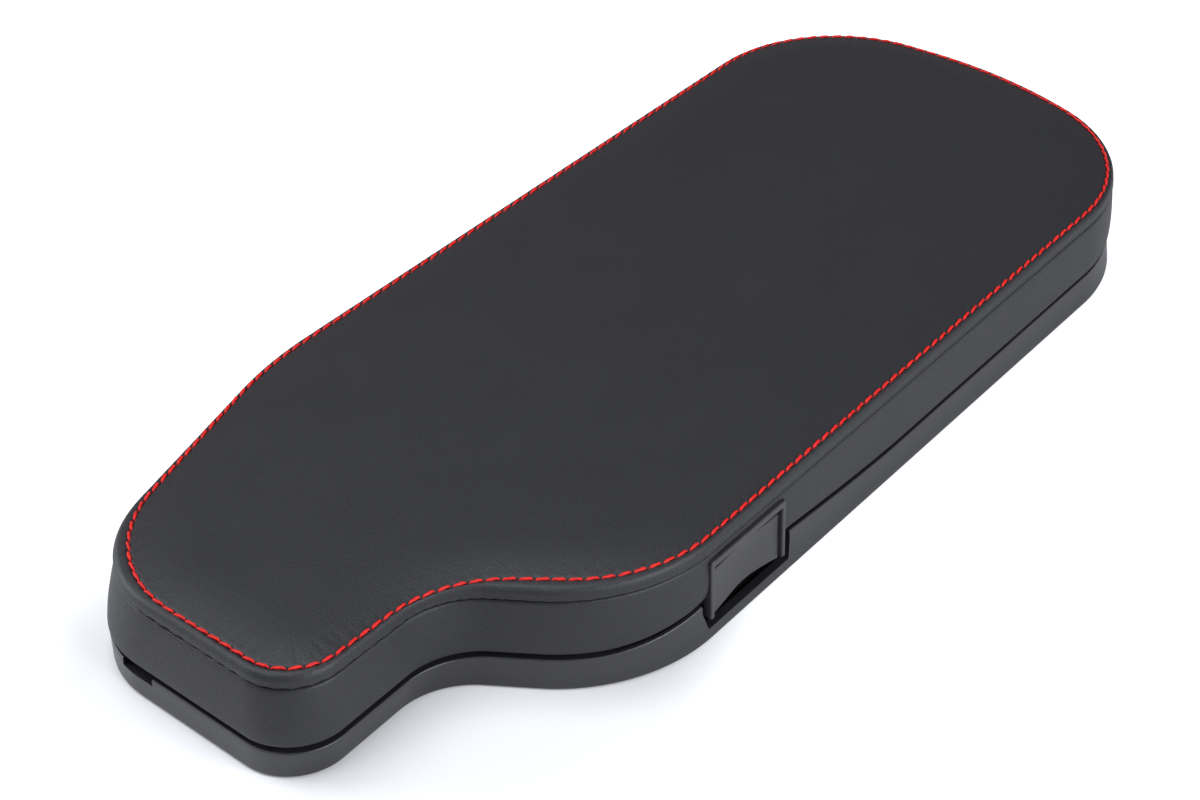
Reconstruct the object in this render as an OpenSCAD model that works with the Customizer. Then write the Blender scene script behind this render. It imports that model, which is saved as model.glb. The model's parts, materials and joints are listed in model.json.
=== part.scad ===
// Car centre armrest: a padded lid hinged at the rear to a low console frame.
// The nose points along -Y, the wide rear end along +Y, up is +Z.
// The brake cut-out and the latch are on the +X side.
// The origin is under the middle of the part, on the surface that it stands on.

/* [Outline] */
// Greatest width across the two long sides
overall_w = 146; // [138:1:156]
// Length from the nose to the rear edge
overall_l = 354; // [340:1:380]
// Width of the brake cut-out, from the latch side to its inner side
cutout_w = 44; // [41:1:48]
// Length of the brake cut-out, from the nose to its inner corner
cutout_l = 53; // [48:1:58]
// Distance from the nose to the shoulder behind the cut-out
shoulder_l = 80.5; // [78:0.5:84]
// Distance from the nose to the start of the outer side's taper
taper_l = 99.5; // [92:0.5:112]
// How far the taper draws in the nose's outer corner
taper_w = 20; // [16:1:22]
// How far the nose's outer corner lies behind its inner one
nose_skew = 5; // [3:0.5:7]
// Distance from the rear edge to the rear corner above the latch side
rear_run = 18.5; // [17:0.5:22]

/* [Outline radii] */
// Radius of the shoulder behind the cut-out
shoulder_r = 50; // [42:1:56]
// Radius inside the brake cut-out
cutout_r = 22; // [16:1:28]
// Radius of the nose's inner corner
nose_inner_r = 17; // [16:1:19]
// Radius of the nose's outer corner
nose_outer_r = 31; // [26:1:36]
// Radius where the taper begins
taper_r = 110; // [90:5:140]
// Radius of the rear corner on the latch side
rear_inner_r = 53; // [46:1:54]
// Radius of the rear corner on the outer side
rear_outer_r = 47; // [40:1:52]
// Radius of the rear edge between its corners
rear_crown_r = 138; // [120:2:150]

/* [Heights] */
// Height of the console frame at its rear edge
frame_h = 10; // [9:0.1:13]
// How much lower the frame's rim is at the nose
rim_drop = 1.2; // [0:0.1:1.6]
// Gap between the frame's rim and the lid at the rear
part_gap = 0.7; // [0.5:0.1:2]
// Height of the lid's side band
band_h = 17.4; // [16:0.1:20]
// Height of the rolled edge from the band to the stitch line
roll_h = 3.85; // [3:0.05:4.5]
// Rise of the padded top above the stitch line
crown_h = 2.05; // [1.6:0.05:4]

/* [Cover and padding] */
// Thickness of the leatherette
skin_t = 1.2; // [0.8:0.1:1.5]
// Clearance between the cover, the foam and the carrier
pad_gap = 0.1; // [0.05:0.05:0.3]
// Distance from one stitch to the next
stitch_pitch = 4.1; // [3.5:0.1:6]
// Length of one stitch
stitch_len = 3.4; // [2.4:0.1:3.8]
// Width of the thread
thread_w = 0.8; // [0.5:0.1:0.9]
// Height of the thread above the leatherette
thread_h = 0.75; // [0.4:0.05:1]
// Slant of each stitch from the line, in degrees
stitch_slant = 7; // [0:1:15]

/* [Lid carrier and liner] */
// Height of the carrier
carrier_h = 12; // [11:0.5:13]
// Wall of the carrier's skirt
carrier_wall = 2.2; // [1.6:0.1:2.4]
// Thickness of the carrier's top plate
carrier_plate = 2.5; // [2:0.1:3]
// Distance from the lid's outline to the carrier's skirt
carrier_inset = 4.8; // [4.5:0.1:5.4]
// Thickness of the carrier's ribs
rib_t = 1.6; // [1.2:0.1:2.4]
// Height of the carrier's ribs
rib_h = 4; // [2:0.5:5]
// Distance from one rib to the next
rib_pitch = 38; // [30:1:50]
// Thickness of the liner under the lid
liner_t = 2.5; // [2.2:0.1:2.8]
// Step from the band's lower edge up to the liner
liner_step = 0.2; // [0.1:0.05:0.3]

/* [Console frame] */
// Width of the frame from its outline to the console opening
frame_w = 20; // [19:0.5:22]
// Outer wall of the frame
frame_wall = 2.2; // [1.8:0.1:2.6]
// Inner wall of the frame
frame_inner_wall = 2; // [1.6:0.1:2.6]
// Thickness of the frame's flange at the rear
flange_t = 4.2; // [3.9:0.1:4.6]
// Distance from the lid's outline to the frame's outer wall
frame_inset = 0.8; // [0.5:0.1:1.2]
// Rounding of the frame's lower edge
foot_r = 1.2; // [0.8:0.1:1.4]
// Distance of the cable notch from the outer side
notch_offset = 43; // [40:1:46]
// Width of the cable notch in the rim at the nose
notch_w = 12; // [8:0.5:16]
// Depth of the cable notch below the rim
notch_d = 2.2; // [1.5:0.1:2.4]
// Inward length of the cable notch
notch_l = 8; // [5:0.5:12]

/* [Frame fastening] */
// Distance of the four long-side bosses from the outline
boss_inset = 10.5; // [9.5:0.5:12]
// Spacing of the four long-side bosses along the frame
boss_spacing_y = 140; // [120:1:150]
// Spacing of the two nose bosses
nose_boss_spacing = 24; // [16:1:28]
// Outer radius of a boss
boss_r = 4.2; // [3.6:0.1:4.8]
// Radius of the pilot hole in a frame boss
pilot_r = 1.6; // [1.2:0.05:2]
// Depth of the pilot hole in a frame boss
pilot_l = 7; // [5:0.5:7.5]

/* [Latch] */
// Distance from the shoulder to the middle of the latch
latch_back = 42; // [41:1:60]
// Length of the latch bezel along the side
bezel_len = 32.6; // [30:0.2:36]
// Height of the bezel above the table
bezel_top = 26; // [25.6:0.1:26.6]
// Lower end of the bezel's legs
bezel_foot = 7.6; // [7.4:0.1:8.9]
// Width of the bezel's legs
bezel_leg = 1.4; // [1.2:0.1:2]
// Height of the bezel's top bar
bezel_bar = 2; // [1.8:0.1:2.4]
// How far the bezel stands out of the leatherette
bezel_proud = 0.3; // [0:0.1:0.6]
// Depth of the bezel's housing behind its face
bezel_depth = 15.8; // [15.6:0.1:16.2]
// How far the paddle's face lies behind the bezel's face
paddle_setback = 1.1; // [0.9:0.1:1.5]
// Thickness of the paddle's plate
paddle_t = 3.4; // [3:0.1:3.6]
// Radius of the paddle's finger scoop
scoop_r = 70; // [60:1:90]
// Depth of the scoop halfway up the paddle
scoop_d = 1.25; // [0.8:0.05:1.4]
// Rise of the paddle's arched lower edge
arch_rise = 2.2; // [1:0.1:3]
// Radius of the latch pin
pin_r = 1.2; // [1:0.05:1.3]
// Radial clearance of the pins in their bores
pin_gap = 0.05; // [0.02:0.01:0.1]
// Width of the hook arm
hook_w = 9; // [6:0.5:10]
// How far the hook reaches under the striker
hook_bite = 2; // [1.5:0.1:2.2]
// Travel of the paddle when it is pulled, in degrees
paddle_travel = 18; // [10:1:18]
// Radius of the spring's coil, to the middle of the wire
coil_r = 2.2; // [2:0.05:2.25]
// Radius of the spring wire
wire_r = 0.35; // [0.25:0.05:0.4]
// Whole turns of the spring
coil_turns = 4; // [3:1:5]
// Rise of the frame's rim at the latch
rise_h = 3.4; // [0.5:0.1:3.6]
// Thickness of the rim where it rises
rise_wall = 1; // [0.8:0.1:1.1]
// Length of that rise along the rim towards the nose
rise_front_l = 28; // [22:1:36]
// Length of that rise along the rim towards the rear
rise_rear_l = 52; // [40:1:58]
// How much longer the finger recess is at its top, towards the nose
recess_flare = 2; // [0.5:0.1:2.2]

/* [Hinge] */
// Offset of the hinge from the middle of the width
hinge_x = -12; // [-16:1:-8]
// Length of the hinge
hinge_len = 40; // [34:1:42]
// Outer radius of a knuckle
knuckle_r = 2.8; // [2.5:0.1:3]
// Radius of the hinge pin
hinge_pin_r = 1.3; // [1.1:0.05:1.5]
// Thickness of a hinge leaf
leaf_t = 1.5; // [1.2:0.1:1.6]
// Length of a hinge leaf from the knuckles to its front edge
leaf_l = 14; // [12:0.5:16]
// Distance of the hinge axis from the rear edge of the outline
hinge_setback = 2.7; // [2.6:0.1:3.2]
// Length of the relief beside the hinge, where the lid's edge swings down
swing_l = 6; // [5:0.5:8]
// Depth of that relief in the frame's rim
swing_d = 1.6; // [1.4:0.1:2]

/* [Screws and bumpers] */
// Distance of the liner screws from the lid's sides
screw_inset = 12; // [11:0.5:13]
// Distance of the bumpers from the outline
bumper_inset = 10; // [9:0.5:11]
// Radius of the screws' heads
head_r = 2.7; // [2.4:0.1:2.8]
// Height of the screws' heads
head_h = 1.5; // [1.2:0.1:1.5]
// Radius of the screws' shanks
shank_r = 1.25; // [1:0.05:1.4]
// Radial clearance of the shanks in their pilot holes
pilot_gap = 0.12; // [0.08:0.01:0.2]
// Length of the liner screws' shanks
shank_l = 9.5; // [8:0.5:9.5]
// Length of the bezel screws' shanks
bezel_screw_l = 6.5; // [5:0.5:6.5]
// Length of the striker screws
striker_screw_l = 7; // [6:0.5:7]
// Length of the screws in the frame's hinge leaf
frame_leaf_screw_l = 7.5; // [6:0.5:7.5]
// Radius of a boss inside the lid
lid_boss_r = 3.4; // [3:0.1:4]
// Radius of a rubber bumper's head
bumper_r = 3.5; // [3:0.1:4]

/* [Hidden] */
// Steps in each rounded corner of the outline
arc_steps = 8;
// Steps in the corners of the rim's room, so that its corners don't meet the band's
room_steps = 13;
nose_w = overall_w - cutout_w;
half_w = overall_w / 2;
half_l = overall_l / 2;
fit_gap = 0.3;
seat_gap = 0.05;
cut = 40;

// Levels from the table up
lid_z = frame_h + part_gap;
crease_z = lid_z + band_h;
seam_z = crease_z + roll_h;
crown_z = seam_z + crown_h;
rim_nose_z = frame_h - rim_drop;
flange_z = frame_h - flange_t;
skirt_z = lid_z + skin_t + pad_gap;
carrier_top = skirt_z + carrier_h;
plate_z = carrier_top - carrier_plate;
liner_z = lid_z + liner_step;
liner_top = liner_z + liner_t;

// How far the outer side leans in towards the rear
side_lean = 3;
// Corners of the outline as x, y and radius, counter-clockwise from the shoulder
edge_corners = [
    [half_w, -half_l + shoulder_l, shoulder_r],
    [half_w - 0.5, half_l - rear_run, rear_inner_r],
    [7, half_l + 1.8, rear_crown_r],
    [-half_w + side_lean, half_l - 3.8, rear_outer_r],
    [-half_w, -half_l + taper_l, taper_r],
    [-half_w + taper_w, -half_l - 1 + nose_skew, nose_outer_r],
    [-half_w + nose_w, -half_l - 1, nose_inner_r],
    [-half_w + nose_w - 0.5, -half_l + cutout_l, cutout_r]
];
// Shift of each corner from the outline to the stitch line, as x, y and radius
stitch_shift = [
    [-2.5, 6.5, -7],
    [-2.2, 0, -1],
    [-3.4, -2.8, 9],
    [2.4, -2.2, -3],
    [2.5, -4.5, 7],
    [5, 4.4, 10],
    [-4, 6, -2],
    [-1.5, 2.6, 15]
];
// Shift of each corner from the frame's rim to its foot, which flares round the cut-out and
// along the latch side
foot_shift = [
    [0.6, -1.2, 0],
    [1, 0.5, 0],
    [0.3, 0.5, 0],
    [0, 0, 0],
    [0, 0, 0],
    [0, 0, 0],
    [-1, 0, 0],
    [-1.3, -2.2, 0]
];
// How far each corner has moved towards the stitch line at the crease
crease_lean = [0.1, 0.1, 0.1, 0.1, 0.1, 0.5, 0.4, 0.1];

// Rounded outlines
cap_middle = [0, -half_l + shoulder_l + 36];
function unit(v) = v / norm(v);
function turn_side(a, b) = sign(a.y * b.x - a.x * b.y);
least_r = 0.4;
function arc_points(p, a, b, r, inset, steps) =
    let (
        half = acos(a * b) / 2,
        side = turn_side(a, b),
        radius = max(r - side * inset, least_r),
        corner = p + side * inset / sin(half) * unit(a + b),
        centre = corner + radius / sin(half) * unit(a + b),
        start = corner + radius / tan(half) * a - centre,
        from = atan2(start.y, start.x),
        sweep = side * (180 - 2 * half)
    )
    [for (k = [0 : steps]) centre + radius * [cos(from + sweep * k / steps), sin(from + sweep * k / steps)]];
function corner_at(corners, i) = corners[(i + len(corners)) % len(corners)];
function corner_xy(corners, i) = [corner_at(corners, i).x, corner_at(corners, i).y];
function side_run(corners, i) = norm(corner_xy(corners, i + 1) - corner_xy(corners, i));
function tangent_run(corners, i) =
    let (
        p = corner_xy(corners, i),
        a = unit(corner_xy(corners, i - 1) - p),
        b = unit(corner_xy(corners, i + 1) - p)
    )
    corner_at(corners, i)[2] / tan(acos(a * b) / 2);
// The share of a corner's radius that its two sides have room for, at most 1
function room(corners, i) =
    let (own = tangent_run(corners, i))
    min(1, 0.99 * side_run(corners, i - 1) / (own + tangent_run(corners, i - 1)),
        0.99 * side_run(corners, i) / (own + tangent_run(corners, i + 1)));
function rounded(corners, inset = 0, steps = arc_steps) =
    [for (i = [0 : len(corners) - 1])
        let (
            p = corner_xy(corners, i),
            a = unit(corner_xy(corners, i - 1) - p),
            b = unit(corner_xy(corners, i + 1) - p)
        )
        each arc_points(p, a, b, corners[i][2] * room(corners, i), inset, steps)];
// The outline moved towards the stitch line by one share for each corner
function corners_at(share) =
    [for (i = [0 : len(edge_corners) - 1]) edge_corners[i] + share[i] * stitch_shift[i]];
function same(share) = [for (c = edge_corners) share];
function at_height(points, z) = [for (p = points) [p.x, p.y, z]];
function ring(share, inset, z) = at_height(rounded(corners_at(share), inset), z);
function frame_ring(inset, z) =
    at_height(rounded(edge_corners + (1 - z / frame_h) * foot_shift, inset), z);
function band_share(t) = crease_lean * t;
function roll_share(angle) = [for (v = crease_lean) v + (1 - v) * (1 - cos(angle))];

// Height share and inset of the band's outer and inner faces, from its foot up
band_outer = [[0, 1.5], [0.04, 0.7], [0.16, 0.2], [0.48, 0], [0.83, 0.2], [0.95, 0.8], [1, 1.7]];
band_inner = [[0.985, 2.9], [0.92, 1.98], [0.48, 1.2], [0.16, 1.4]];
flange_inset = 5;
// Angle, inset and height share of the rolled edge
roll_steps = [[0, 0.2, 0.44], [30, 0.15, 0.79], [50, 0.1, 1.05], [68, 0, 1.1]];
groove_half = 0.68;
// Inset from the stitch line and height share of the padded crown
crown_steps = [[1.6, 0.24], [5, 0.61], [10, 0.9], [14, 1]];

module leatherette() { color([0.15, 0.15, 0.16]) children(); }
module hard_plastic() { color([0.11, 0.11, 0.12]) children(); }
module steel() { color([0.62, 0.63, 0.65]) children(); }

// A solid through rings of equal length, from the inside top down and the outside up;
// its flat ends are fans about a point that sees the whole outline
module loft(rings, looped = false) {
    n = len(rings[0]);
    m = len(rings);
    points = [for (r = rings) each r];
    last = looped ? m - 1 : m - 2;
    sides = [for (j = [0 : last], i = [0 : n - 1])
        let (
            a = j * n + i,
            b = j * n + (i + 1) % n,
            c = (j + 1) % m * n + (i + 1) % n,
            d = (j + 1) % m * n + i
        )
        each [[a, d, c], [a, c, b]]];
    caps = looped ? [] : [for (i = [0 : n - 1])
        each [[i, (i + 1) % n, n * m], [(m - 1) * n + (i + 1) % n, (m - 1) * n + i, n * m + 1]]];
    ends = looped ? [] : [for (j = [0, m - 1]) [cap_middle.x, cap_middle.y, rings[j][0].z]];
    polyhedron(concat(points, ends), concat(sides, caps), convexity = 10);
}

module outline_prism(inset, z0, z1, steps = arc_steps) {
    translate([0, 0, z0])
        linear_extrude(z1 - z0)
            polygon(rounded(edge_corners, inset, steps));
}

module box(x0, x1, y0, y1, z0, z1) {
    translate([x0, y0, z0])
        cube([x1 - x0, y1 - y0, z1 - z0]);
}

// A profile in X and Z, extruded along Y
module along_y(y0, y1) {
    translate([0, y1, 0])
        rotate([90, 0, 0])
            linear_extrude(y1 - y0)
                children();
}

// A profile in Y and Z, extruded along X
module along_x(x0, x1) {
    translate([x0, 0, 0])
        rotate([90, 0, 90])
            linear_extrude(x1 - x0)
                children();
}

module rod_y(x, z, r, y0, y1) {
    translate([x, y1, z])
        rotate([90, 0, 0])
            cylinder(r = r, h = y1 - y0, $fn = 48);
}

module rod_x(y, z, r, x0, x1) {
    translate([x0, y, z])
        rotate([0, 90, 0])
            cylinder(r = r, h = x1 - x0, $fn = 48);
}

module post(p, r, z0, z1) {
    translate([p.x, p.y, z0])
        cylinder(r = r, h = z1 - z0, $fn = 48);
}

// Latch
latch_y = -half_l + shoulder_l + latch_back;
face_x = half_w + bezel_proud;
housing_x = face_x - bezel_depth;
back_wall = 1.6;
housing_z = liner_z + fit_gap;
bezel_half = bezel_len / 2;
bezel_ceiling = bezel_top - bezel_bar;
leg_depth = 2.4;
ear_l = 8;
ear_w = 6.5;
ear_z = 16;
ear_t = 2;
ear_screw_x = housing_x + 3.5;
ear_screws = [for (s = [-1, 1]) [ear_screw_x, latch_y + s * (bezel_half + ear_l / 2)]];
paddle_x = face_x - paddle_setback;
paddle_half = bezel_half - bezel_leg - fit_gap;
paddle_z0 = bezel_foot - 0.6;
paddle_z1 = bezel_ceiling - 1.6;
pivot = [paddle_x - 4.8, bezel_ceiling - 2.8];
hub_r = 2.6;
arm_t = 2.8;
striker_gap = 0.3;
spring_y0 = latch_y + hook_w / 2 + 1.5;
spring_y1 = spring_y0 + 6;

// Finger recess in the frame below the latch
recess_half = bezel_half + 2.2;
recess_floor = 1.8;
sill_z = 4;
recess_wall = 2;
recess_back = half_w - 16.1;
recess_y = [latch_y - recess_half, latch_y + recess_half + 1.4];
rise_l = [rise_front_l, rise_rear_l];
function rise_at(share) = rise_h * pow(1 - share, 1.5);

// Striker on the frame
striker_t = 1.2;
striker_top = rim_nose_z + rim_drop * (latch_y + half_l) / overall_l;
striker_z = striker_top - striker_t;
striker_lip = recess_back + 2.3;
striker_l = 15.7;
striker_half = 13;
striker_screw_x = striker_lip - 11.7;
striker_screws = [for (s = [-1, 1]) [striker_screw_x, latch_y + s * 9]];
arm_x = striker_lip + striker_gap;
hook_z = striker_z - 0.1;
hook_foot = 5;

// Hinge
hinge_y = half_l - hinge_setback;
hinge_z = frame_h + part_gap / 2;
knuckles = 5;
knuckle_l = hinge_len / knuckles;
knuckle_gap = 0.15;
barrel_gap = 0.6;
leaf_y1 = hinge_y - knuckle_r - 0.5;
leaf_y0 = leaf_y1 - leaf_l;
frame_leaf_top = frame_h - 0.05;
lid_leaf_z = lid_z - 0.05;
leaf_screws = [for (s = [-1, 1]) [hinge_x + s * 0.3 * hinge_len, leaf_y0 + 5.5]];

// Places of the liner screws, the frame bosses and the bumpers
side_screw_x = half_w - screw_inset;
nose_x = [-half_w + taper_w, -half_w + nose_w];
lid_screws = [
    [side_screw_x, 30],
    [side_screw_x, half_l - 50],
    [-side_screw_x + side_lean, half_l - 50],
    [-side_screw_x, 30],
    [-side_screw_x, -half_l + taper_l + 15],
    [nose_x[1] + 13, -half_l + shoulder_l - 2],
    [nose_x[0] + 13, -half_l + 19],
    [nose_x[1] - 14, -half_l + 17]
];
boss_mid_y = 50;
nose_boss = [(nose_x[0] + nose_x[1]) / 2, -half_l + 11];
frame_bosses = concat(
    [for (s = [-1, 1], t = [-1, 1]) [s * (half_w - boss_inset), boss_mid_y + t * boss_spacing_y / 2]],
    [for (s = [-1, 1]) nose_boss + [s * nose_boss_spacing / 2, 0]]
);
bumpers = [
    [nose_x[0] + 0.55 * bumper_inset, -half_l + 27],
    [nose_x[1] - bumper_inset, -half_l + 27],
    [-half_w + bumper_inset, 25],
    [half_w - bumper_inset, 25]
];
bumper_seat = rim_nose_z - 0.4;
bumper_stem_r = 1.7;
bumper_barb_r = 2.3;
notch_x = -half_w + notch_offset;

LID_SCREWS = [for (i = [1 : len(lid_screws)]) str("lid_screw_", i)];
BEZEL_SCREWS = ["bezel_screw_1", "bezel_screw_2"];
STRIKER_SCREWS = ["striker_screw_1", "striker_screw_2"];
LID_LEAF_SCREWS = ["lid_hinge_screw_1", "lid_hinge_screw_2"];
FRAME_LEAF_SCREWS = ["frame_hinge_screw_1", "frame_hinge_screw_2"];
BUMPERS = [for (i = [1 : len(bumpers)]) str("rubber_bumper_", i)];

// Room for the hinge in the lid: its leaf below the liner and its barrel
module hinge_room() {
    half = hinge_len / 2;
    box(hinge_x - half - fit_gap, hinge_x + half + fit_gap,
        leaf_y0 - fit_gap, hinge_y, lid_z - cut, lid_leaf_z + leaf_t);
    box(hinge_x - half - barrel_gap, hinge_x + half + barrel_gap,
        leaf_y1 - fit_gap, hinge_y + cut, lid_z - cut, hinge_z + knuckle_r + barrel_gap);
}

// Room for the bezel's housing in the lid, with a clearance all round
module bezel_room(gap) {
    box(housing_x - gap, half_w + cut, latch_y - bezel_half - gap, latch_y + bezel_half + gap,
        lid_z - cut, bezel_top + gap);
}

// Area in Y and Z below the rim's rise on both sides of the latch, from its base at z0
module rise_area(z0, z1) {
    runs = [0, 0.14, 0.3, 0.5, 0.7];
    for (s = [0, 1]) {
        way = 2 * s - 1;
        polygon(concat(
            [[recess_y[s] - way * 4, z0], [recess_y[s] - way * 4, z1 + rise_h]],
            [for (u = runs) [recess_y[s] + way * u * rise_l[s], z1 + rise_at(u)]],
            [[recess_y[s] + way * rise_l[s], z1 - 0.3], [recess_y[s] + way * rise_l[s], z0]]));
    }
}

// The risen rim, as an upright wall along the outline
module rim_rise() {
    intersection() {
        difference() {
            outline_prism(frame_inset, flange_z, frame_h + rise_h + 1);
            outline_prism(frame_inset + rise_wall, flange_z - 1, frame_h + rise_h + 2);
        }
        along_x(half_w - 32, half_w + 5)
            rise_area(flange_z + 0.5, striker_top);
    }
}

// Room in the lid for the risen rim
module rise_room() {
    intersection() {
        difference() {
            outline_prism(-5, lid_z - 1, lid_z + rise_h + 1);
            outline_prism(frame_inset + frame_wall + 0.4, lid_z - 2, lid_z + rise_h + 2, room_steps);
        }
        along_x(half_w - 34, half_w + 5)
            rise_area(lid_z - 0.5, lid_z);
    }
}

// Leatherette panel over the top, rolled over the edge down to the crease
module top_cover() {
    lip_z = crease_z + pad_gap;
    roll_outer = concat(
        [ring(crease_lean, 1.7, lip_z), ring(crease_lean, 0.7, lip_z + 0.6)],
        [for (s = roll_steps) ring(roll_share(s[0]), s[1], crease_z + s[2] * roll_h)]
    );
    groove = [ring(same(1), -groove_half, seam_z), ring(same(1), groove_half, seam_z)];
    crown = [for (s = crown_steps) ring(same(1), s[0], seam_z + s[1] * crown_h)];
    inner_crown = [for (i = [len(crown_steps) - 1 : -1 : 0])
        ring(same(1), crown_steps[i][0], seam_z + crown_steps[i][1] * crown_h - skin_t)];
    inner_roll = [
        ring(same(1), 0, seam_z - skin_t),
        ring(roll_share(50), skin_t - 0.1, seam_z - skin_t),
        ring(crease_lean, skin_t + 0.2, crease_z + 0.44 * roll_h),
        ring(crease_lean, skin_t + 1.7, lip_z)
    ];
    leatherette()
        loft(concat(inner_crown, inner_roll, roll_outer, groove, crown));
}

// Leatherette band around the side, turned in below the carrier's skirt
module side_band() {
    outer = [for (s = band_outer) ring(band_share(s[0]), s[1], lid_z + s[0] * band_h)];
    inner = [for (s = band_inner) ring(band_share(s[0]), s[1] + skin_t - 1.2, lid_z + s[0] * band_h)];
    turned = [
        ring(same(0), 1 + skin_t, lid_z + skin_t),
        ring(same(0), flange_inset, lid_z + skin_t),
        ring(same(0), flange_inset, lid_z)
    ];
    leatherette()
        difference() {
            loft(concat(outer, inner, turned), looped = true);
            bezel_room(fit_gap * 1.3);
            rise_room();
            hinge_room();
        }
}

// Decorative red thread: one slanted stitch after another along the stitch line
stitch_line = rounded(corners_at(same(1)));
stitch_points = len(stitch_line);
stitch_run = [for (i = 0, s = 0; i <= stitch_points;
    s = s + norm(stitch_line[(i + 1) % stitch_points] - stitch_line[i % stitch_points]), i = i + 1) s];
stitch_total = stitch_run[stitch_points];
stitch_count = round(stitch_total / stitch_pitch);
run_x = [for (i = [0 : stitch_points]) [stitch_run[i], stitch_line[i % stitch_points].x]];
run_y = [for (i = [0 : stitch_points]) [stitch_run[i], stitch_line[i % stitch_points].y]];
function stitch_at(s) = [lookup(s, run_x), lookup(s, run_y)];

module top_stitching() {
    step = stitch_total / stitch_count;
    color([0.8, 0.1, 0.08])
        for (i = [0 : stitch_count - 1]) {
            from = stitch_at((i + 0.5) * step - stitch_len / 2);
            to = stitch_at((i + 0.5) * step + stitch_len / 2);
            middle = (from + to) / 2;
            translate([middle.x, middle.y, seam_z])
                rotate([0, 0, atan2(to.y - from.y, to.x - from.x) + stitch_slant])
                    stitch();
        }
}

// One stitch: a lozenge that tapers to the needle holes at its ends
module stitch() {
    long = stitch_len / 2;
    wide = thread_w / 2;
    linear_extrude(thread_h)
        polygon([[-long, -wide * 0.4], [-long * 0.5, -wide], [long * 0.5, -wide],
            [long, -wide * 0.4], [long, wide * 0.4], [long * 0.5, wide],
            [-long * 0.5, wide], [-long, wide * 0.4]]);
}

// Moulded foam between the carrier and the cover
module foam_pad() {
    gap = skin_t + pad_gap;
    cavity = carrier_inset - pad_gap;
    top_outer = [for (s = crown_steps) ring(same(1), s[0], seam_z + s[1] * crown_h - gap)];
    side = [for (s = [[0.16, 1.4], [0.48, 1.2], [0.92, 2.02], [0.97, 2.8]])
        ring(band_share(s[0]), s[1] + gap - 1.2, lid_z + s[0] * band_h)];
    roll = [
        ring(crease_lean, gap + 1.7, crease_z + pad_gap),
        ring(crease_lean, gap + 0.3, crease_z + 0.44 * roll_h),
        ring(roll_share(50), gap, seam_z - gap),
        ring(same(1), 0, seam_z - gap)
    ];
    color([0.86, 0.8, 0.58])
        difference() {
            loft(concat(
                [ring(same(0), cavity, carrier_top + pad_gap), ring(same(0), cavity, skirt_z)],
                [ring(same(0), 1.1 + gap, skirt_z)],
                side, roll, top_outer));
            bezel_room(fit_gap);
            hinge_room();
        }
}

// Rigid carrier: a shallow pan with ribs, screw bosses and a window for the latch
module lid_carrier() {
    inner = carrier_inset + carrier_wall;
    rib_z = plate_z - rib_h;
    hard_plastic()
        difference() {
            union() {
                difference() {
                    outline_prism(carrier_inset, skirt_z, carrier_top);
                    outline_prism(inner, skirt_z - 1, plate_z);
                }
                intersection() {
                    outline_prism(inner - 0.2, rib_z, plate_z + 1);
                    carrier_ribs(rib_z);
                }
                for (p = concat(lid_screws, leaf_screws))
                    post(p, lid_boss_r, liner_top, plate_z + 1);
                for (p = ear_screws)
                    post(p, lid_boss_r - 0.4, ear_z + ear_t, plate_z + 1);
            }
            bezel_room(fit_gap);
            hinge_room();
            for (p = lid_screws)
                post(p, shank_r + pilot_gap, liner_top - 1, liner_screw_seat() + shank_l + 0.5);
            for (p = leaf_screws)
                post(p, shank_r + pilot_gap, liner_top - 1, lid_leaf_z + leaf_t + shank_l - 1);
            for (p = ear_screws)
                post(p, shank_r + pilot_gap, ear_z + ear_t - 1, carrier_top - 0.8);
        }
}

module carrier_ribs(z) {
    for (y = [-half_l + rib_pitch : rib_pitch : half_l - rib_pitch / 2])
        box(-half_w, half_w, y - rib_t / 2, y + rib_t / 2, z, plate_z + 1);
    for (x = [-rib_pitch : rib_pitch : rib_pitch])
        box(x - rib_t / 2, x + rib_t / 2, -half_l, half_l, z, plate_z + 1);
}

function liner_screw_seat() = liner_z + head_h + 0.1;

// Liner panel that closes the lid from below
module lid_liner() {
    step_inset = carrier_inset + carrier_wall + fit_gap;
    hard_plastic()
        difference() {
            union() {
                outline_prism(flange_inset + 0.2, liner_z, skirt_z - pad_gap);
                outline_prism(step_inset, liner_z, liner_top);
            }
            bezel_room(fit_gap + 1);
            hinge_room();
            for (p = lid_screws) {
                post(p, head_r + 0.2, liner_z - 1, liner_screw_seat());
                post(p, shank_r + 0.25, liner_z, liner_top + 1);
            }
            for (p = leaf_screws)
                post(p, shank_r + 0.25, liner_z, liner_top + 1);
        }
}

// Latch bezel: an inverted U around the paddle with a housing behind it
module latch_bezel() {
    y0 = latch_y - bezel_half;
    y1 = latch_y + bezel_half;
    corner_r = 1.2;
    hard_plastic()
        difference() {
            union() {
                along_x(housing_x, face_x)
                    polygon(rounded([[y0, housing_z, 0.4], [y1, housing_z, 0.4],
                        [y1, bezel_top, corner_r], [y0, bezel_top, corner_r]]));
                box(face_x - leg_depth, face_x, y0, y1, bezel_foot, housing_z + 1);
                for (p = ear_screws)
                    box(housing_x, housing_x + ear_w, p.y - ear_l / 2 - 0.5, p.y + ear_l / 2 + 0.5,
                        ear_z, ear_z + ear_t);
            }
            along_x(housing_x + back_wall, face_x + 1)
                polygon(rounded([[y0 + bezel_leg, bezel_foot - 1, 0.4], [y1 - bezel_leg, bezel_foot - 1, 0.4],
                    [y1 - bezel_leg, bezel_ceiling, 0.5], [y0 + bezel_leg, bezel_ceiling, 0.5]]));
            box(housing_x - 1, housing_x + back_wall + 1, latch_y - hook_w, latch_y + hook_w,
                housing_z - 1, ear_z - 2);
            rod_y(pivot.x, pivot.y, pin_r + pin_gap, y0 - 1, y1 + 1);
            for (p = ear_screws)
                post(p, shank_r + 0.25, ear_z - 1, ear_z + ear_t + 1);
        }
}

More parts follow.
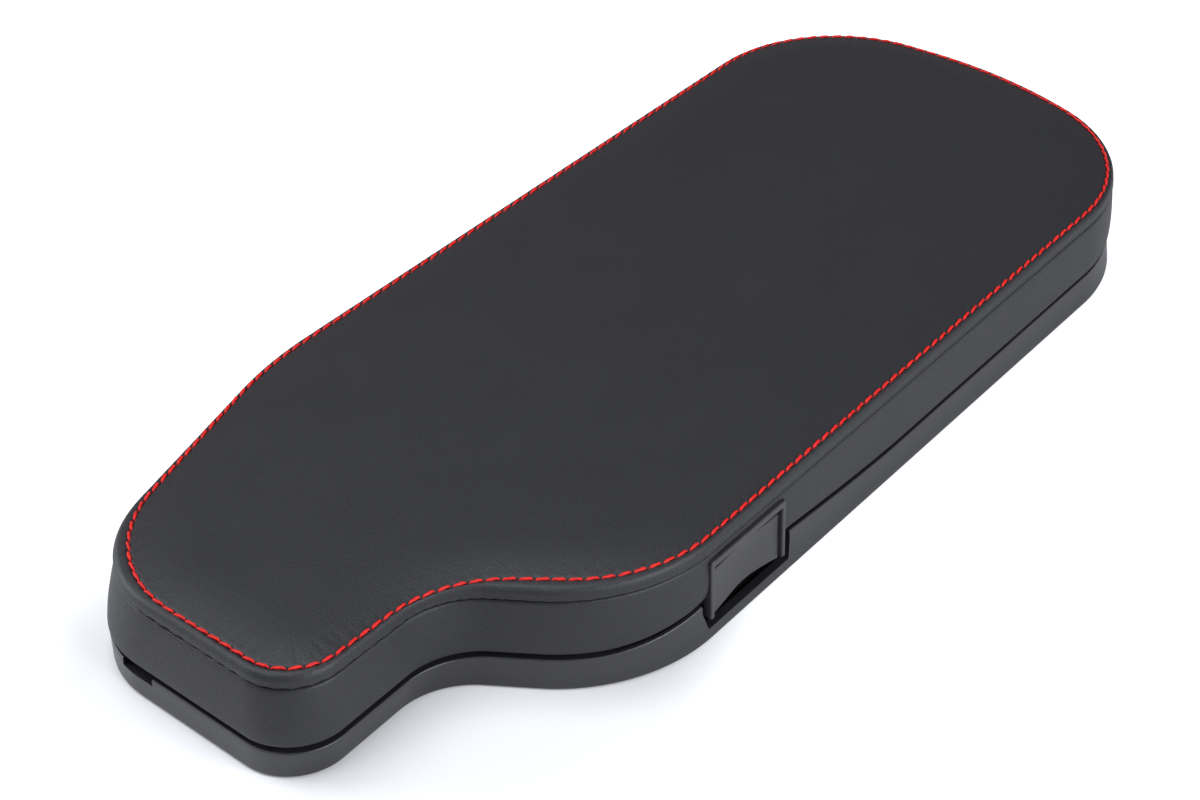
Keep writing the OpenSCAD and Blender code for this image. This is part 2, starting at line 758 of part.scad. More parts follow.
// Latch paddle: the finger plate, its hub and the hook arm in one moulding
module latch_paddle() {
    y0 = latch_y - paddle_half;
    y1 = latch_y + paddle_half;
    back = paddle_x - paddle_t;
    arch_r = (paddle_half * paddle_half + arch_rise * arch_rise) / (2 * arch_rise);
    nose_x = arm_x - striker_gap - hook_bite;
    shelf_z = pivot.y - coil_r - wire_r;
    color([0.09, 0.09, 0.1])
        difference() {
            union() {
                along_y(y0, y1)
                    polygon([[back, paddle_z0], [paddle_x, paddle_z0], [paddle_x, paddle_z1 - 0.8],
                        [paddle_x - 0.8, paddle_z1], [back, paddle_z1]]);
                rod_y(pivot.x, pivot.y, hub_r, y0, y1);
                along_y(y0, y1)
                    polygon([[pivot.x, pivot.y - hub_r], [back + 0.5, pivot.y - hub_r - 1],
                        [back + 0.5, pivot.y + 1], [pivot.x, pivot.y + 1]]);
                along_y(latch_y - hook_w / 2, latch_y + hook_w / 2)
                    polygon([[arm_x, hook_foot], [arm_x + arm_t, hook_foot],
                        [arm_x + arm_t, pivot.y - hub_r], [pivot.x, pivot.y - 1.8],
                        [pivot.x, pivot.y + 1.8], [arm_x + 1.5, pivot.y + 1.8], [arm_x, pivot.y + 0.3],
                        [arm_x, hook_z], [nose_x, hook_z], [nose_x, hook_z - 0.7]]);
                box(arm_x + 1.5, pivot.x - coil_r - wire_r - fit_gap, latch_y, spring_y1 + 1,
                    shelf_z + 2 * wire_r + pad_gap, pivot.y + 0.5);
            }
            rod_y(pivot.x, pivot.y, pin_r + pin_gap, y0 - 1, y1 + 1);
            rod_y(pivot.x, pivot.y, coil_r + wire_r + 0.35, spring_y0, spring_y1);
            translate([paddle_x - scoop_d + scoop_r, latch_y, (paddle_z0 + paddle_z1) / 2])
                rotate([0, 5.5, 0])
                    cylinder(r = scoop_r, h = 60, center = true, $fn = 96);
            rod_x(latch_y, paddle_z0 + arch_rise - arch_r, arch_r, back - 1, paddle_x + 1);
        }
}

module latch_pin() {
    steel()
        rod_y(pivot.x, pivot.y, pin_r, latch_y - bezel_half + 0.4, latch_y + bezel_half - 0.4);
}

// Torsion spring round the latch pin: its upper leg bears on the bezel's ceiling,
// its lower leg lifts the shelf beside the hook arm
module latch_spring() {
    steps = 12;
    turn = 360 * coil_turns + 90;
    count = steps * coil_turns + steps / 4;
    leg_top = bezel_ceiling - wire_r - seat_gap;
    leg_end = arm_x + 2;
    first = spring_y0 + 0.8;
    last = spring_y1 - 0.8;
    coil = [for (k = [0 : count])
        let (angle = -turn * k / count)
        [pivot.x + coil_r * cos(angle), first + (last - first) * k / count,
            pivot.y + coil_r * sin(angle), angle]];
    path = concat(
        [[pivot.x + coil_r, first, leg_top, 0]],
        coil,
        [[leg_end, last, pivot.y - coil_r, -turn]]
    );
    steel()
        wire(path);
}

// A wire of six sides along points that carry the angle of their outward side
module wire(path) {
    sides = 6;
    n = len(path);
    points = [for (p = path, k = [0 : sides - 1])
        let (w = wire_r * cos(360 * k / sides), v = wire_r * sin(360 * k / sides))
        [p.x + w * cos(p[3]), p.y + v, p.z + w * sin(p[3])]];
    faces = concat(
        [[for (k = [0 : sides - 1]) k]],
        [for (j = [0 : n - 2], k = [0 : sides - 1])
            let (a = j * sides + k, b = j * sides + (k + 1) % sides)
            each [[a, a + sides, b + sides], [a, b + sides, b]]],
        [[for (k = [sides - 1 : -1 : 0]) (n - 1) * sides + k]]
    );
    polyhedron(points, faces, convexity = 6);
}

// Steel striker on the frame, whose lip holds the hook down
module striker_plate() {
    steel()
        difference() {
            box(striker_lip - striker_l, striker_lip, latch_y - striker_half, latch_y + striker_half,
                striker_z, striker_top);
            for (p = striker_screws)
                countersink(p, striker_top, -1);
        }
}

// One hinge leaf with its own knuckles: the plate, a tongue to each knuckle and the barrel
module hinge_leaf(z, own) {
    half = hinge_len / 2;
    difference() {
        union() {
            box(hinge_x - half, hinge_x + half, leaf_y0, leaf_y1, z, z + leaf_t);
            for (i = own) {
                x0 = hinge_x - half + i * knuckle_l + knuckle_gap;
                x1 = x0 + knuckle_l - 2 * knuckle_gap;
                box(x0, x1, leaf_y1 - 1, hinge_y, z, z + leaf_t);
                rod_x(hinge_y, hinge_z, knuckle_r, x0, x1);
            }
        }
        rod_x(hinge_y, hinge_z, hinge_pin_r + pin_gap, hinge_x - half - 1, hinge_x + half + 1);
    }
}

module hinge_lid_leaf() {
    steel()
        difference() {
            hinge_leaf(lid_leaf_z, [1, 3]);
            for (p = leaf_screws)
                countersink(p, lid_leaf_z, 1);
        }
}

module hinge_frame_leaf() {
    steel()
        difference() {
            hinge_leaf(frame_leaf_top - leaf_t, [0, 2, 4]);
            for (p = leaf_screws)
                countersink(p, frame_leaf_top, -1);
        }
}

module hinge_pin() {
    half = hinge_len / 2;
    steel()
        rod_x(hinge_y, hinge_z, hinge_pin_r, hinge_x - half + 0.3, hinge_x + half - 0.3);
}

// Conical seat for a flat-headed screw that enters at height z and points up or down
module countersink(p, z, up) {
    gap = 0.08;
    translate([p.x, p.y, z])
        mirror([0, 0, up > 0 ? 0 : 1]) {
            translate([0, 0, -0.01])
                cylinder(r1 = head_r + gap, r2 = shank_r + gap, h = striker_t + 0.02, $fn = 48);
            cylinder(r = shank_r + gap, h = leaf_t + 1, $fn = 48);
        }
}

module flat_screw(p, z, up, length) {
    steel()
        translate([p.x, p.y, z])
            mirror([0, 0, up > 0 ? 0 : 1])
                difference() {
                    union() {
                        cylinder(r1 = head_r, r2 = shank_r, h = striker_t, $fn = 48);
                        cylinder(r = shank_r, h = length, $fn = 48);
                    }
                    cross_recess();
                }
}

module pan_screw(p, z, length) {
    steel()
        translate([p.x, p.y, z])
            difference() {
                union() {
                    cylinder(r = head_r, h = head_h, $fn = 48);
                    cylinder(r = shank_r, h = head_h + length, $fn = 48);
                }
                cross_recess();
            }
}

module cross_recess() {
    slot = 0.7;
    depth = 0.8;
    for (turn = [0, 90])
        rotate([0, 0, turn])
            translate([-head_r * 0.55, -slot / 2, -1])
                cube([head_r * 1.1, slot, depth + 1]);
}

// Console frame: a low rim with a flange, bosses, the finger recess and the cable notch
module console_frame() {
    hard_plastic()
        difference() {
            union() {
                frame_body();
                rim_rise();
            }
            recess_mouth();
        }
}

module frame_body() {
    round_edge = [for (a = [0 : 30 : 90])
        frame_ring(frame_inset + foot_r * (1 - sin(a)), foot_r * (1 - cos(a)))];
    difference() {
        union() {
            difference() {
                loft(concat(round_edge, [frame_ring(frame_inset, frame_h)]));
                frame_channel();
                outline_prism(frame_w, -1, frame_h + 1);
            }
            for (p = frame_bosses)
                post(p, boss_r, 0, flange_z + 0.5);
            for (p = leaf_screws)
                post(p, boss_r, 1, flange_z + 0.5);
            striker_platform();
        }
        rim_slope();
        recess_space();
        box(notch_x - notch_w / 2, notch_x + notch_w / 2, -half_l - 5, -half_l + notch_l,
            rim_nose_z - notch_d, frame_h + 5);
        frame_hinge_room();
        for (p = frame_bosses)
            post(p, pilot_r, -1, pilot_l);
        for (p = leaf_screws)
            post(p, shank_r + pilot_gap, 1.8, frame_h + 1);
        for (p = striker_screws)
            post(p, shank_r + pilot_gap, 1.6, frame_h + 1);
        for (p = bumpers) {
            post(p, bumper_r + 0.4, bumper_seat, frame_h + 5);
            post(p, bumper_stem_r + 0.05, flange_z - 1, frame_h);
        }
    }
}

// Slope that lowers the rim towards the nose
module rim_slope() {
    along_x(-half_w - 5, half_w + 5)
        polygon([[-half_l, rim_nose_z], [half_l, frame_h], [half_l, frame_h + 5], [-half_l, frame_h + 5]]);
}

// Hollow under the flange, left solid round the finger recess
module frame_channel() {
    difference() {
        outline_prism(frame_inset + frame_wall, -1, flange_z);
        outline_prism(frame_w - frame_inner_wall, -2, flange_z + 1);
        box(half_w - frame_w, half_w, recess_y[0] - recess_wall, recess_y[1] + recess_wall,
            -2, flange_z + 1);
    }
}

module recess_space() {
    wall_x = half_w - frame_inset - frame_wall;
    box(recess_back, wall_x, recess_y[0] + recess_flare, recess_y[1] - recess_flare * 0.4,
        recess_floor, frame_h + 5);
    box(striker_lip - striker_l - fit_gap, recess_back + 1, latch_y - striker_half - fit_gap,
        latch_y + striker_half + fit_gap, striker_z, frame_h + 5);
}

// Opening of the finger recess in the outer wall, longer at its top
module recess_mouth() {
    along_x(half_w - frame_inset - frame_wall - 1, half_w + 5)
        polygon([[recess_y[0] + recess_flare, sill_z], [recess_y[1] - recess_flare * 0.4, sill_z],
            [recess_y[1], frame_h], [recess_y[1], frame_h + 5],
            [recess_y[0], frame_h + 5], [recess_y[0], frame_h]]);
}

module striker_platform() {
    x0 = striker_lip - striker_l - 2.5;
    half = striker_half + 2.5;
    box(x0, half_w - frame_w + 1, latch_y - half, latch_y + half, flange_z, frame_h);
    for (p = striker_screws)
        post(p, lid_boss_r, 0.8, flange_z + 0.5);
}

// Seat for the frame's hinge leaf and a cut for the barrel
module frame_hinge_room() {
    half = hinge_len / 2;
    box(hinge_x - half - fit_gap, hinge_x + half + fit_gap, leaf_y0 - fit_gap, hinge_y,
        frame_leaf_top - leaf_t, frame_h + 5);
    box(hinge_x - half - barrel_gap, hinge_x + half + barrel_gap, leaf_y1 - fit_gap, half_l + 10,
        hinge_z - knuckle_r - barrel_gap, frame_h + 5);
    box(hinge_x - half - swing_l, hinge_x + half + swing_l, hinge_y - 1, half_l + 10,
        frame_h - swing_d, frame_h + 5);
}

// Rubber bumper pressed through the flange, with its head under the liner
module rubber_bumper(p) {
    color([0.05, 0.05, 0.05])
        union() {
            post(p, bumper_r, bumper_seat, liner_z - seat_gap);
            post(p, bumper_stem_r, flange_z - 1.4, bumper_seat + 0.5);
            post(p, bumper_barb_r, flange_z - 1.4, flange_z - pad_gap);
        }
}

top_cover();
side_band();
top_stitching();
foam_pad();
lid_carrier();
lid_liner();
latch_bezel();
latch_paddle();
latch_pin();
latch_spring();
hinge_lid_leaf();
hinge_frame_leaf();
hinge_pin();
striker_plate();
console_frame();
for (i = [0 : len(lid_screws) - 1])
    pan_screw(lid_screws[i], liner_z + 0.1, shank_l);
for (i = [0 : 1])
    pan_screw(ear_screws[i], ear_z - head_h, bezel_screw_l);
for (i = [0 : 1])
    flat_screw(striker_screws[i], striker_top, -1, striker_screw_l);
for (i = [0 : 1])
    flat_screw(leaf_screws[i], lid_leaf_z, 1, shank_l - 0.5);
for (i = [0 : 1])
    flat_screw(leaf_screws[i], frame_leaf_top, -1, frame_leaf_screw_l);
for (i = [0 : len(bumpers) - 1])
    rubber_bumper(bumpers[i]);
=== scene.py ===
"""Looks of the car centre armrest: covers, thread, softened plastic, materials, light and camera.

Lengths are in millimetres until a mesh is made, and in metres on the stage. The outline and the
sizes that pieces share repeat part.scad's values.
"""
import json
import math

import bmesh
import bpy
import numpy as np
from mathutils import Matrix, Vector
from mathutils.geometry import delaunay_2d_cdt

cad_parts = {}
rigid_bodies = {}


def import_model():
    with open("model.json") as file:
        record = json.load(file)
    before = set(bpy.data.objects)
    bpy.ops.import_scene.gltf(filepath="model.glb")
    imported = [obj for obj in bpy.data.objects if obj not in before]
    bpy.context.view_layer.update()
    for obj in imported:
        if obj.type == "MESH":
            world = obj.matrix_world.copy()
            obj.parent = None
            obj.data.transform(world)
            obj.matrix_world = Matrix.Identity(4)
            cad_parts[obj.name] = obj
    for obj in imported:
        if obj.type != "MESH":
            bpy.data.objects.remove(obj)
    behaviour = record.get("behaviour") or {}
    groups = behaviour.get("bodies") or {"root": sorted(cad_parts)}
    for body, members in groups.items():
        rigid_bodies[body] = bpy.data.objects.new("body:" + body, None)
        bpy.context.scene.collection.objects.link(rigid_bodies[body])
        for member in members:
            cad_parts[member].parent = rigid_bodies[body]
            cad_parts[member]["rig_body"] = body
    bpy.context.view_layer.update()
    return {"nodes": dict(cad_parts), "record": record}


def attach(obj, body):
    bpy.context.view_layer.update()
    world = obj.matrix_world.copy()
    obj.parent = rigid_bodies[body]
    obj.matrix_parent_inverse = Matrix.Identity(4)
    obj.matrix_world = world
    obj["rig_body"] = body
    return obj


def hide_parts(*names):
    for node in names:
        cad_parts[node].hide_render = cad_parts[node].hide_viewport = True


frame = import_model()

MM = 0.001

# Corners of the outline as x, y and radius, counter-clockwise from the shoulder
EDGE = np.array([
    [73, -96.5, 50], [72.5, 158.5, 53], [7, 178.8, 138], [-70, 173.2, 47],
    [-73, -77.5, 110], [-53, -173, 31], [29, -178, 17], [28.5, -124, 22],
], float)
# The least radius that an inset leaves, and the points by which an outline's length is measured
LEAST_RADIUS = 0.4
DENSE = 16001
# Shift of each corner from the outline to the stitch line
STITCH_SHIFT = np.array([
    [-2.5, 6.5, -7], [-2.2, 0, -1], [-3.4, -2.8, 9], [2.4, -2.2, -3],
    [2.5, -4.5, 7], [5, 4.4, 10], [-4, 6, -2], [-1.5, 2.6, 15],
])
# How much of that shift each corner has at the crease over the side band
LEAN = np.array([0.1, 0.1, 0.1, 0.1, 0.1, 0.5, 0.4, 0.1])

# Latch: the middle and half length of its bezel, and the bezel's face, top and foot
LATCH_Y = -54.5
BEZEL_HALF = 16.3
BEZEL_X = 73.3
BEZEL_TOP = 26.0
BEZEL_FOOT = 7.6
# Ends of the finger recess at its top, and the rise of the rim and the lid's edge beside it
RECESS = (-73.0, -34.6)
RISE = 3.4
RISE_RUN = (28.0, 52.0)
# The rise is on the side beyond this X
LATCH_SIDE = 41

# Stitches, and the points of a ring: a whole number to each stitch
STITCHES = 210
PER_STITCH = 8
FINE = STITCHES * PER_STITCH


# Outlines -------------------------------------------------------------------------------

def outline(corners, inset, stations):
    """Points of the rounded outline, moved in by the inset.

    Stations k to k + 0.5 run along corner k's arc, the rest along the side after it.
    """
    p = corners[:, :2]
    a = np.roll(p, 1, axis=0) - p
    b = np.roll(p, -1, axis=0) - p
    a /= np.linalg.norm(a, axis=1)[:, None]
    b /= np.linalg.norm(b, axis=1)[:, None]
    half = np.arccos((a * b).sum(axis=1)) / 2
    turn = np.sign(a[:, 1] * b[:, 0] - a[:, 0] * b[:, 1])
    radius = np.maximum(corners[:, 2] - turn * inset, LEAST_RADIUS)
    middle = (a + b) / np.linalg.norm(a + b, axis=1)[:, None]
    corner = p + (turn * inset / np.sin(half))[:, None] * middle
    centre = corner + (radius / np.sin(half))[:, None] * middle
    start = corner + (radius / np.tan(half))[:, None] * a - centre
    first = np.arctan2(start[:, 1], start[:, 0])
    sweep = turn * (math.pi - 2 * half)

    def on_arc(k, share):
        angle = first[k] + sweep[k] * share
        return centre[k] + radius[k][:, None] * np.stack([np.cos(angle), np.sin(angle)], axis=1)

    k = np.floor(stations).astype(int) % len(corners)
    share = stations - np.floor(stations)
    along = np.clip(2 * share - 1, 0, 1)[:, None]
    side = on_arc(k, 1.0) * (1 - along) + on_arc((k + 1) % len(corners), 0.0) * along
    return np.where(share[:, None] < 0.5, on_arc(k, np.minimum(2 * share, 1)), side)


def lid_corners(share):
    """The outline's corners moved towards the stitch line.

    The share is 0 at the lid's lower edge, 1 at the crease and 2 at the stitch line.
    """
    lean = LEAN * min(share, 1) + (1 - LEAN) * max(share - 1, 0)
    return EDGE + lean[:, None] * STITCH_SHIFT


def even_stations(count, corners):
    """Stations that divide an outline into equal lengths, and its whole length."""
    dense = np.linspace(0, len(corners), DENSE)
    points = outline(corners, 0, dense)
    run = np.concatenate([[0], np.cumsum(np.linalg.norm(np.diff(points, axis=0), axis=1))])
    return np.interp(np.arange(count) / count * run[-1], run, dense), run[-1]


STATIONS, STITCH_TOTAL = even_stations(FINE, lid_corners(2))
STITCH_LINE = outline(lid_corners(2), 0, STATIONS)
PITCH = STITCH_TOTAL / STITCHES
STEP = STITCH_TOTAL / FINE
RUN = np.arange(FINE) * STEP


def lid_ring(share, inset, z, stations=STATIONS):
    """A level ring round the lid: share as in lid_corners, inset and height."""
    xy = outline(lid_corners(share), inset, stations)
    return np.column_stack([xy, np.full(len(xy), float(z))])


def outward(points):
    """Horizontal unit vectors that point out of a ring."""
    tangent = np.roll(points, -1, axis=0) - np.roll(points, 1, axis=0)
    normal = np.column_stack([tangent[:, 1], -tangent[:, 0]])
    return normal / np.linalg.norm(normal, axis=1)[:, None]


def smooth_profile(control, steps):
    """A smooth curve through control rows, with steps points to each span."""
    rows = np.array(control, float)
    rows = np.vstack([2 * rows[0] - rows[1], rows, 2 * rows[-1] - rows[-2]])
    result = []
    for i in range(1, len(rows) - 2):
        a, b, c, d = rows[i - 1:i + 3]
        for t in np.arange(steps) / steps:
            result.append(0.5 * (2 * b + (c - a) * t + (2 * a - 5 * b + 4 * c - d) * t * t
                                 + (3 * b - a - 3 * c + d) * t ** 3))
    result.append(rows[-2])
    return result


def waves(x, seed, count, longest):
    """A smooth random function of one number or of rows of numbers, about -1 to 1.

    It sums so many waves. Each is shorter and weaker than the one before.
    """
    rng = np.random.default_rng(seed)
    x = np.atleast_2d(np.asarray(x, float).T).T
    total = np.zeros(len(x))
    for i in range(count):
        direction = rng.normal(size=x.shape[1])
        direction /= np.linalg.norm(direction)
        wave = longest / (1 + 0.45 * i)
        total += np.sin(2 * math.pi * x @ direction / wave + rng.uniform(0, 6.3)) / (1 + 0.3 * i)
    return total / 2.2


def bell(x, middle, width):
    """From 1 at the middle to 0 far from it."""
    return np.exp(-((x - middle) / width) ** 2)


def near(points, x, y, reach):
    """From 1 at a place in plan to 0 far from it."""
    return np.exp(-((points[:, 0] - x) ** 2 + (points[:, 1] - y) ** 2) / reach ** 2)


def rise(points):
    """How far the rim and the lid's lower edge rise at each point, beside the latch."""
    y = points[:, 1]
    run = np.where(y < LATCH_Y, (RECESS[0] - y) / RISE_RUN[0], (y - RECESS[1]) / RISE_RUN[1])
    fade = np.clip(1 - np.maximum(run, 0), 0, 1) ** 1.5
    return np.where(points[:, 0] > LATCH_SIDE, RISE * fade, 0)


# Meshes ---------------------------------------------------------------------------------

class Shell:
    """Points and faces of a mesh that is built from rings."""

    def __init__(self):
        self.rows = []
        self.faces = []
        self.count = 0

    def add(self, points):
        """Adds a ring and returns its points' numbers."""
        self.rows.append(np.asarray(points, float))
        self.count += len(points)
        return np.arange(self.count - len(points), self.count)

    def join(self, low, high):
        """Faces between two rings, where one may have a multiple of the other's points."""
        n, m = len(low), len(high)
        if n >= m:
            k = n // m
            for i in range(m):
                below = [low[(k * i + j) % n] for j in range(k + 1)]
                self.faces.append(below + [high[(i + 1) % m], high[i]])
        else:
            k = m // n
            for i in range(n):
                above = [high[(k * i + j) % m] for j in range(k, -1, -1)]
                self.faces.append([low[i], low[(i + 1) % n]] + above)

    def join_round(self, rings):
        """Joins each ring to the next, and the last to the first."""
        for low, high in zip(rings, rings[1:] + rings[:1]):
            self.join(low, high)

    def cap(self, ring, up):
        self.faces.append(list(ring if up else ring[::-1]))

    def mesh(self, name):
        mesh = bpy.data.meshes.new(name)
        points = (np.vstack(self.rows) * MM).tolist()
        mesh.from_pydata(points, [], [[int(i) for i in face] for face in self.faces])
        mesh.validate()
        return mesh


def shade(mesh, sharp=40):
    """Smooth shading, apart from edges of so many degrees or more."""
    mesh.shade_smooth()
    mesh.set_sharp_from_angle(angle=math.radians(sharp))


def piece(name, mesh, body, slot, nodes, sharp=40):
    """A piece that rides on a body, has its slot's material and replaces CAD nodes."""
    obj = bpy.data.objects.new(name, mesh)
    bpy.context.scene.collection.objects.link(obj)
    mesh.materials.clear()
    mesh.materials.append(FINISH[slot])
    shade(mesh, sharp)
    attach(obj, body)
    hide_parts(*nodes)
    return obj


def solid(low, high):
    """A closed solid between two rings."""
    shell = Shell()
    low, high = shell.add(low), shell.add(high)
    shell.join(low, high)
    shell.cap(low, up=False)
    shell.cap(high, up=True)
    return shell.mesh("cutter")


def prism(profile, x0, x1):
    """A solid from a closed profile of Y and Z, from x0 to x1."""
    return solid([(x0, y, z) for y, z in profile], [(x1, y, z) for y, z in profile])


def block(x0, x1, y0, y1, z0, z1):
    return prism([(y0, z0), (y1, z0), (y1, z1), (y0, z1)], x0, x1)


def rounded_path(corners, steps=6):
    """A closed profile with each corner rounded; corners are y, z and radius."""
    corners = np.array(corners, float)
    stations = np.concatenate([k + np.linspace(0, 0.5, steps + 1) for k in range(len(corners))])
    return outline(corners, 0, stations)


def cut_away(obj, cutters):
    """Takes solids out of a piece and deletes them."""
    for mesh in cutters:
        tool = bpy.data.objects.new("cutter", mesh)
        bpy.context.scene.collection.objects.link(tool)
        modifier = obj.modifiers.new("cut", "BOOLEAN")
        modifier.operation = "DIFFERENCE"
        modifier.solver = "EXACT"
        modifier.object = tool
        bake(obj)
        bpy.data.objects.remove(tool)
        bpy.data.meshes.remove(mesh)


def bake(obj):
    """Applies an object's modifiers."""
    bpy.context.view_layer.update()
    graph = bpy.context.evaluated_depsgraph_get()
    mesh = bpy.data.meshes.new_from_object(obj.evaluated_get(graph))
    old = obj.data
    obj.modifiers.clear()
    obj.data = mesh
    bpy.data.meshes.remove(old)


# Materials ------------------------------------------------------------------------------

class Nodes:
    """Short calls for a material's nodes.

    Colours are linear, and the scales of noise and cells are per metre.
    """

    def __init__(self, name):
        self.material = bpy.data.materials.new(name)
        self.material.use_nodes = True
        self.tree = self.material.node_tree
        self.shader = self.tree.nodes["Principled BSDF"]
        self.place = self.node("ShaderNodeTexCoord").outputs["Object"]

    def node(self, kind, **values):
        return new_node(self.tree, kind, **values)

    def link(self, output, socket):
        self.tree.links.new(output, socket)

    def set(self, **values):
        for key, value in values.items():
            self.shader.inputs[key.replace("_", " ")].default_value = value

    def stretched(self, x, y, z):
        node = self.node("ShaderNodeMapping")
        node.inputs["Scale"].default_value = (x, y, z)
        self.link(self.place, node.inputs["Vector"])
        return node.outputs["Vector"]

    def noise(self, scale, detail, rough, vector=None):
        node = self.node("ShaderNodeTexNoise")
        node.inputs["Scale"].default_value = scale
        node.inputs["Detail"].default_value = detail
        node.inputs["Roughness"].default_value = rough
        self.link(vector or self.place, node.inputs["Vector"])
        return node.outputs["Fac"]

    def cells(self, scale, feature, vector=None):
        node = self.node("ShaderNodeTexVoronoi", feature=feature)
        node.inputs["Scale"].default_value = scale
        self.link(vector or self.place, node.inputs["Vector"])
        return node.outputs["Distance"]

    def warped(self, amount, scale):
        """The place, shifted by a noise so that cells aren't regular."""
        noise = self.node("ShaderNodeTexNoise")
        noise.inputs["Scale"].default_value = scale
        self.link(self.place, noise.inputs["Vector"])
        node = self.node("ShaderNodeVectorMath", operation="MULTIPLY_ADD")
        node.inputs[1].default_value = (amount, amount, amount)
        self.link(noise.outputs["Color"], node.inputs[0])
        self.link(self.place, node.inputs[2])
        return node.outputs["Vector"]

    def ramp(self, source, stops):
        """A colour between stops, each a position and a colour."""
        node = self.node("ShaderNodeValToRGB")
        for element, (at, colour) in zip(node.color_ramp.elements, stops):
            element.position = at
            element.color = (*colour, 1)
        self.link(source, node.inputs["Fac"])
        return node.outputs["Color"]

    def spread(self, source, low, high, start=0.0, end=1.0):
        """A source that goes from start to end, mapped to low to high."""
        node = map_range(self.tree, start, end, low, high)
        self.link(source, node.inputs["Value"])
        return node.outputs["Result"]

    def math(self, operation, a, b):
        node = self.node("ShaderNodeMath", operation=operation)
        for socket, value in zip(node.inputs, (a, b)):
            if isinstance(value, (int, float)):
                socket.default_value = value
            else:
                self.link(value, socket)
        return node.outputs["Value"]

    def blend(self, a, a_share, b, b_share):
        return self.math("ADD", self.math("MULTIPLY", a, a_share),
                         self.math("MULTIPLY", b, b_share))

    def bump(self, height, depth, strength):
        """A bump of so many millimetres."""
        node = self.node("ShaderNodeBump")
        node.inputs["Distance"].default_value = depth * MM
        node.inputs["Strength"].default_value = strength
        self.link(height, node.inputs["Height"])
        return node.outputs["Normal"]

    def finish(self, colour, rough, normal):
        self.link(colour, self.shader.inputs["Base Color"])
        self.link(rough, self.shader.inputs["Roughness"])
        self.link(normal, self.shader.inputs["Normal"])
        return self.material


def new_node(tree, kind, **values):
    node = tree.nodes.new(kind)
    for key, value in values.items():
        setattr(node, key, value)
    return node


def map_range(tree, start, end, low, high, **values):
    """A node that maps start to end onto low to high."""
    node = new_node(tree, "ShaderNodeMapRange", **values)
    for key, value in zip(("From Min", "From Max", "To Min", "To Max"), (start, end, low, high)):
        node.inputs[key].default_value = value
    return node


def leatherette():
    m = Nodes("leatherette")
    cells = m.cells(1150, "DISTANCE_TO_EDGE", m.warped(0.0011, 900))
    grain = m.spread(cells, 0, 1, 0.02, 0.34)
    fine = m.noise(2600, 3, 0.6)
    soft = m.noise(45, 3, 0.5)
    height = m.blend(grain, 0.6, fine, 0.5)
    tone = m.blend(soft, 0.25, grain, 0.75)
    colour = m.ramp(tone, [(0.1, (0.0090, 0.0093, 0.0122)), (0.9, (0.0130, 0.0134, 0.0172))])
    rough = m.math("ADD", m.spread(soft, -0.02, 0.02, 0.3, 0.7), m.spread(grain, 0.56, 0.48))
    m.set(Specular_IOR_Level=0.5)
    return m.finish(colour, rough, m.bump(height, 0.095, 0.6))


def thread():
    m = Nodes("thread")
    fibre = m.noise(5200, 3, 0.6, m.stretched(1, 1, 1.6))
    tone = m.noise(700, 3, 0.5)
    colour = m.ramp(m.blend(fibre, 0.5, tone, 0.5),
                    [(0.3, (0.42, 0.005, 0.004)), (0.68, (0.78, 0.018, 0.012))])
    m.set(Specular_IOR_Level=0.3)
    return m.finish(colour, m.spread(tone, 0.42, 0.6), m.bump(fibre, 0.05, 0.7))


def textured_plastic():
    m = Nodes("textured_plastic")
    spark = m.noise(2400, 3, 0.65)
    pits = m.cells(1500, "F1")
    soft = m.noise(60, 3, 0.5)
    height = m.blend(spark, 0.7, pits, 0.5)
    colour = m.ramp(soft, [(0.3, (0.0155, 0.0157, 0.0184)), (0.7, (0.0185, 0.0188, 0.0218))])
    rough = m.math("ADD", m.spread(soft, -0.02, 0.02, 0.3, 0.7), m.spread(spark, 0.40, 0.32))
    m.set(Specular_IOR_Level=0.62)
    return m.finish(colour, rough, m.bump(height, 0.03, 0.5))


def latch_plastic():
    m = Nodes("latch_plastic")
    soft = m.noise(180, 3, 0.5)
    spark = m.noise(3200, 2, 0.5)
    colour = m.ramp(soft, [(0.3, (0.028, 0.028, 0.0305)), (0.7, (0.032, 0.032, 0.035))])
    return m.finish(colour, m.spread(soft, 0.40, 0.45, 0.3, 0.7), m.bump(spark, 0.008, 0.4))


def steel():
    m = Nodes("steel")
    streak = m.noise(900, 4, 0.6, m.stretched(1, 0.12, 1))
    spangle = m.noise(160, 3, 0.5)
    colour = m.ramp(spangle, [(0.3, (0.44, 0.45, 0.47)), (0.7, (0.60, 0.61, 0.63))])
    m.set(Metallic=1.0)
    return m.finish(colour, m.spread(streak, 0.26, 0.44), m.bump(streak, 0.01, 0.4))


def foam():
    m = Nodes("foam")
    pores = m.cells(1300, "F1")
    soft = m.noise(70, 4, 0.5)
    colour = m.ramp(soft, [(0.3, (0.72, 0.66, 0.47)), (0.7, (0.84, 0.79, 0.62))])
    return m.finish(colour, m.spread(pores, 0.95, 0.8), m.bump(pores, 0.25, 0.8))


def rubber():
    m = Nodes("rubber")
    soft = m.noise(300, 4, 0.5)
    fine = m.noise(3000, 3, 0.6)
    colour = m.ramp(soft, [(0.3, (0.018, 0.018, 0.018)), (0.7, (0.026, 0.026, 0.026))])
    return m.finish(colour, m.spread(soft, 0.7, 0.85), m.bump(fine, 0.03, 0.6))


FINISH = {f.__name__: f() for f in (
    leatherette, thread, textured_plastic, latch_plastic, steel, foam, rubber)}
for row in frame["record"]["subparts"]:
    node = frame["nodes"][row["node"]]
    node.data.materials.clear()
    node.data.materials.append(FINISH[row["material_slot"]])


# Leatherette cover over the top ---------------------------------------------------------

ROLL_SHARE = 1.625
ROLL_TOP = 32.18
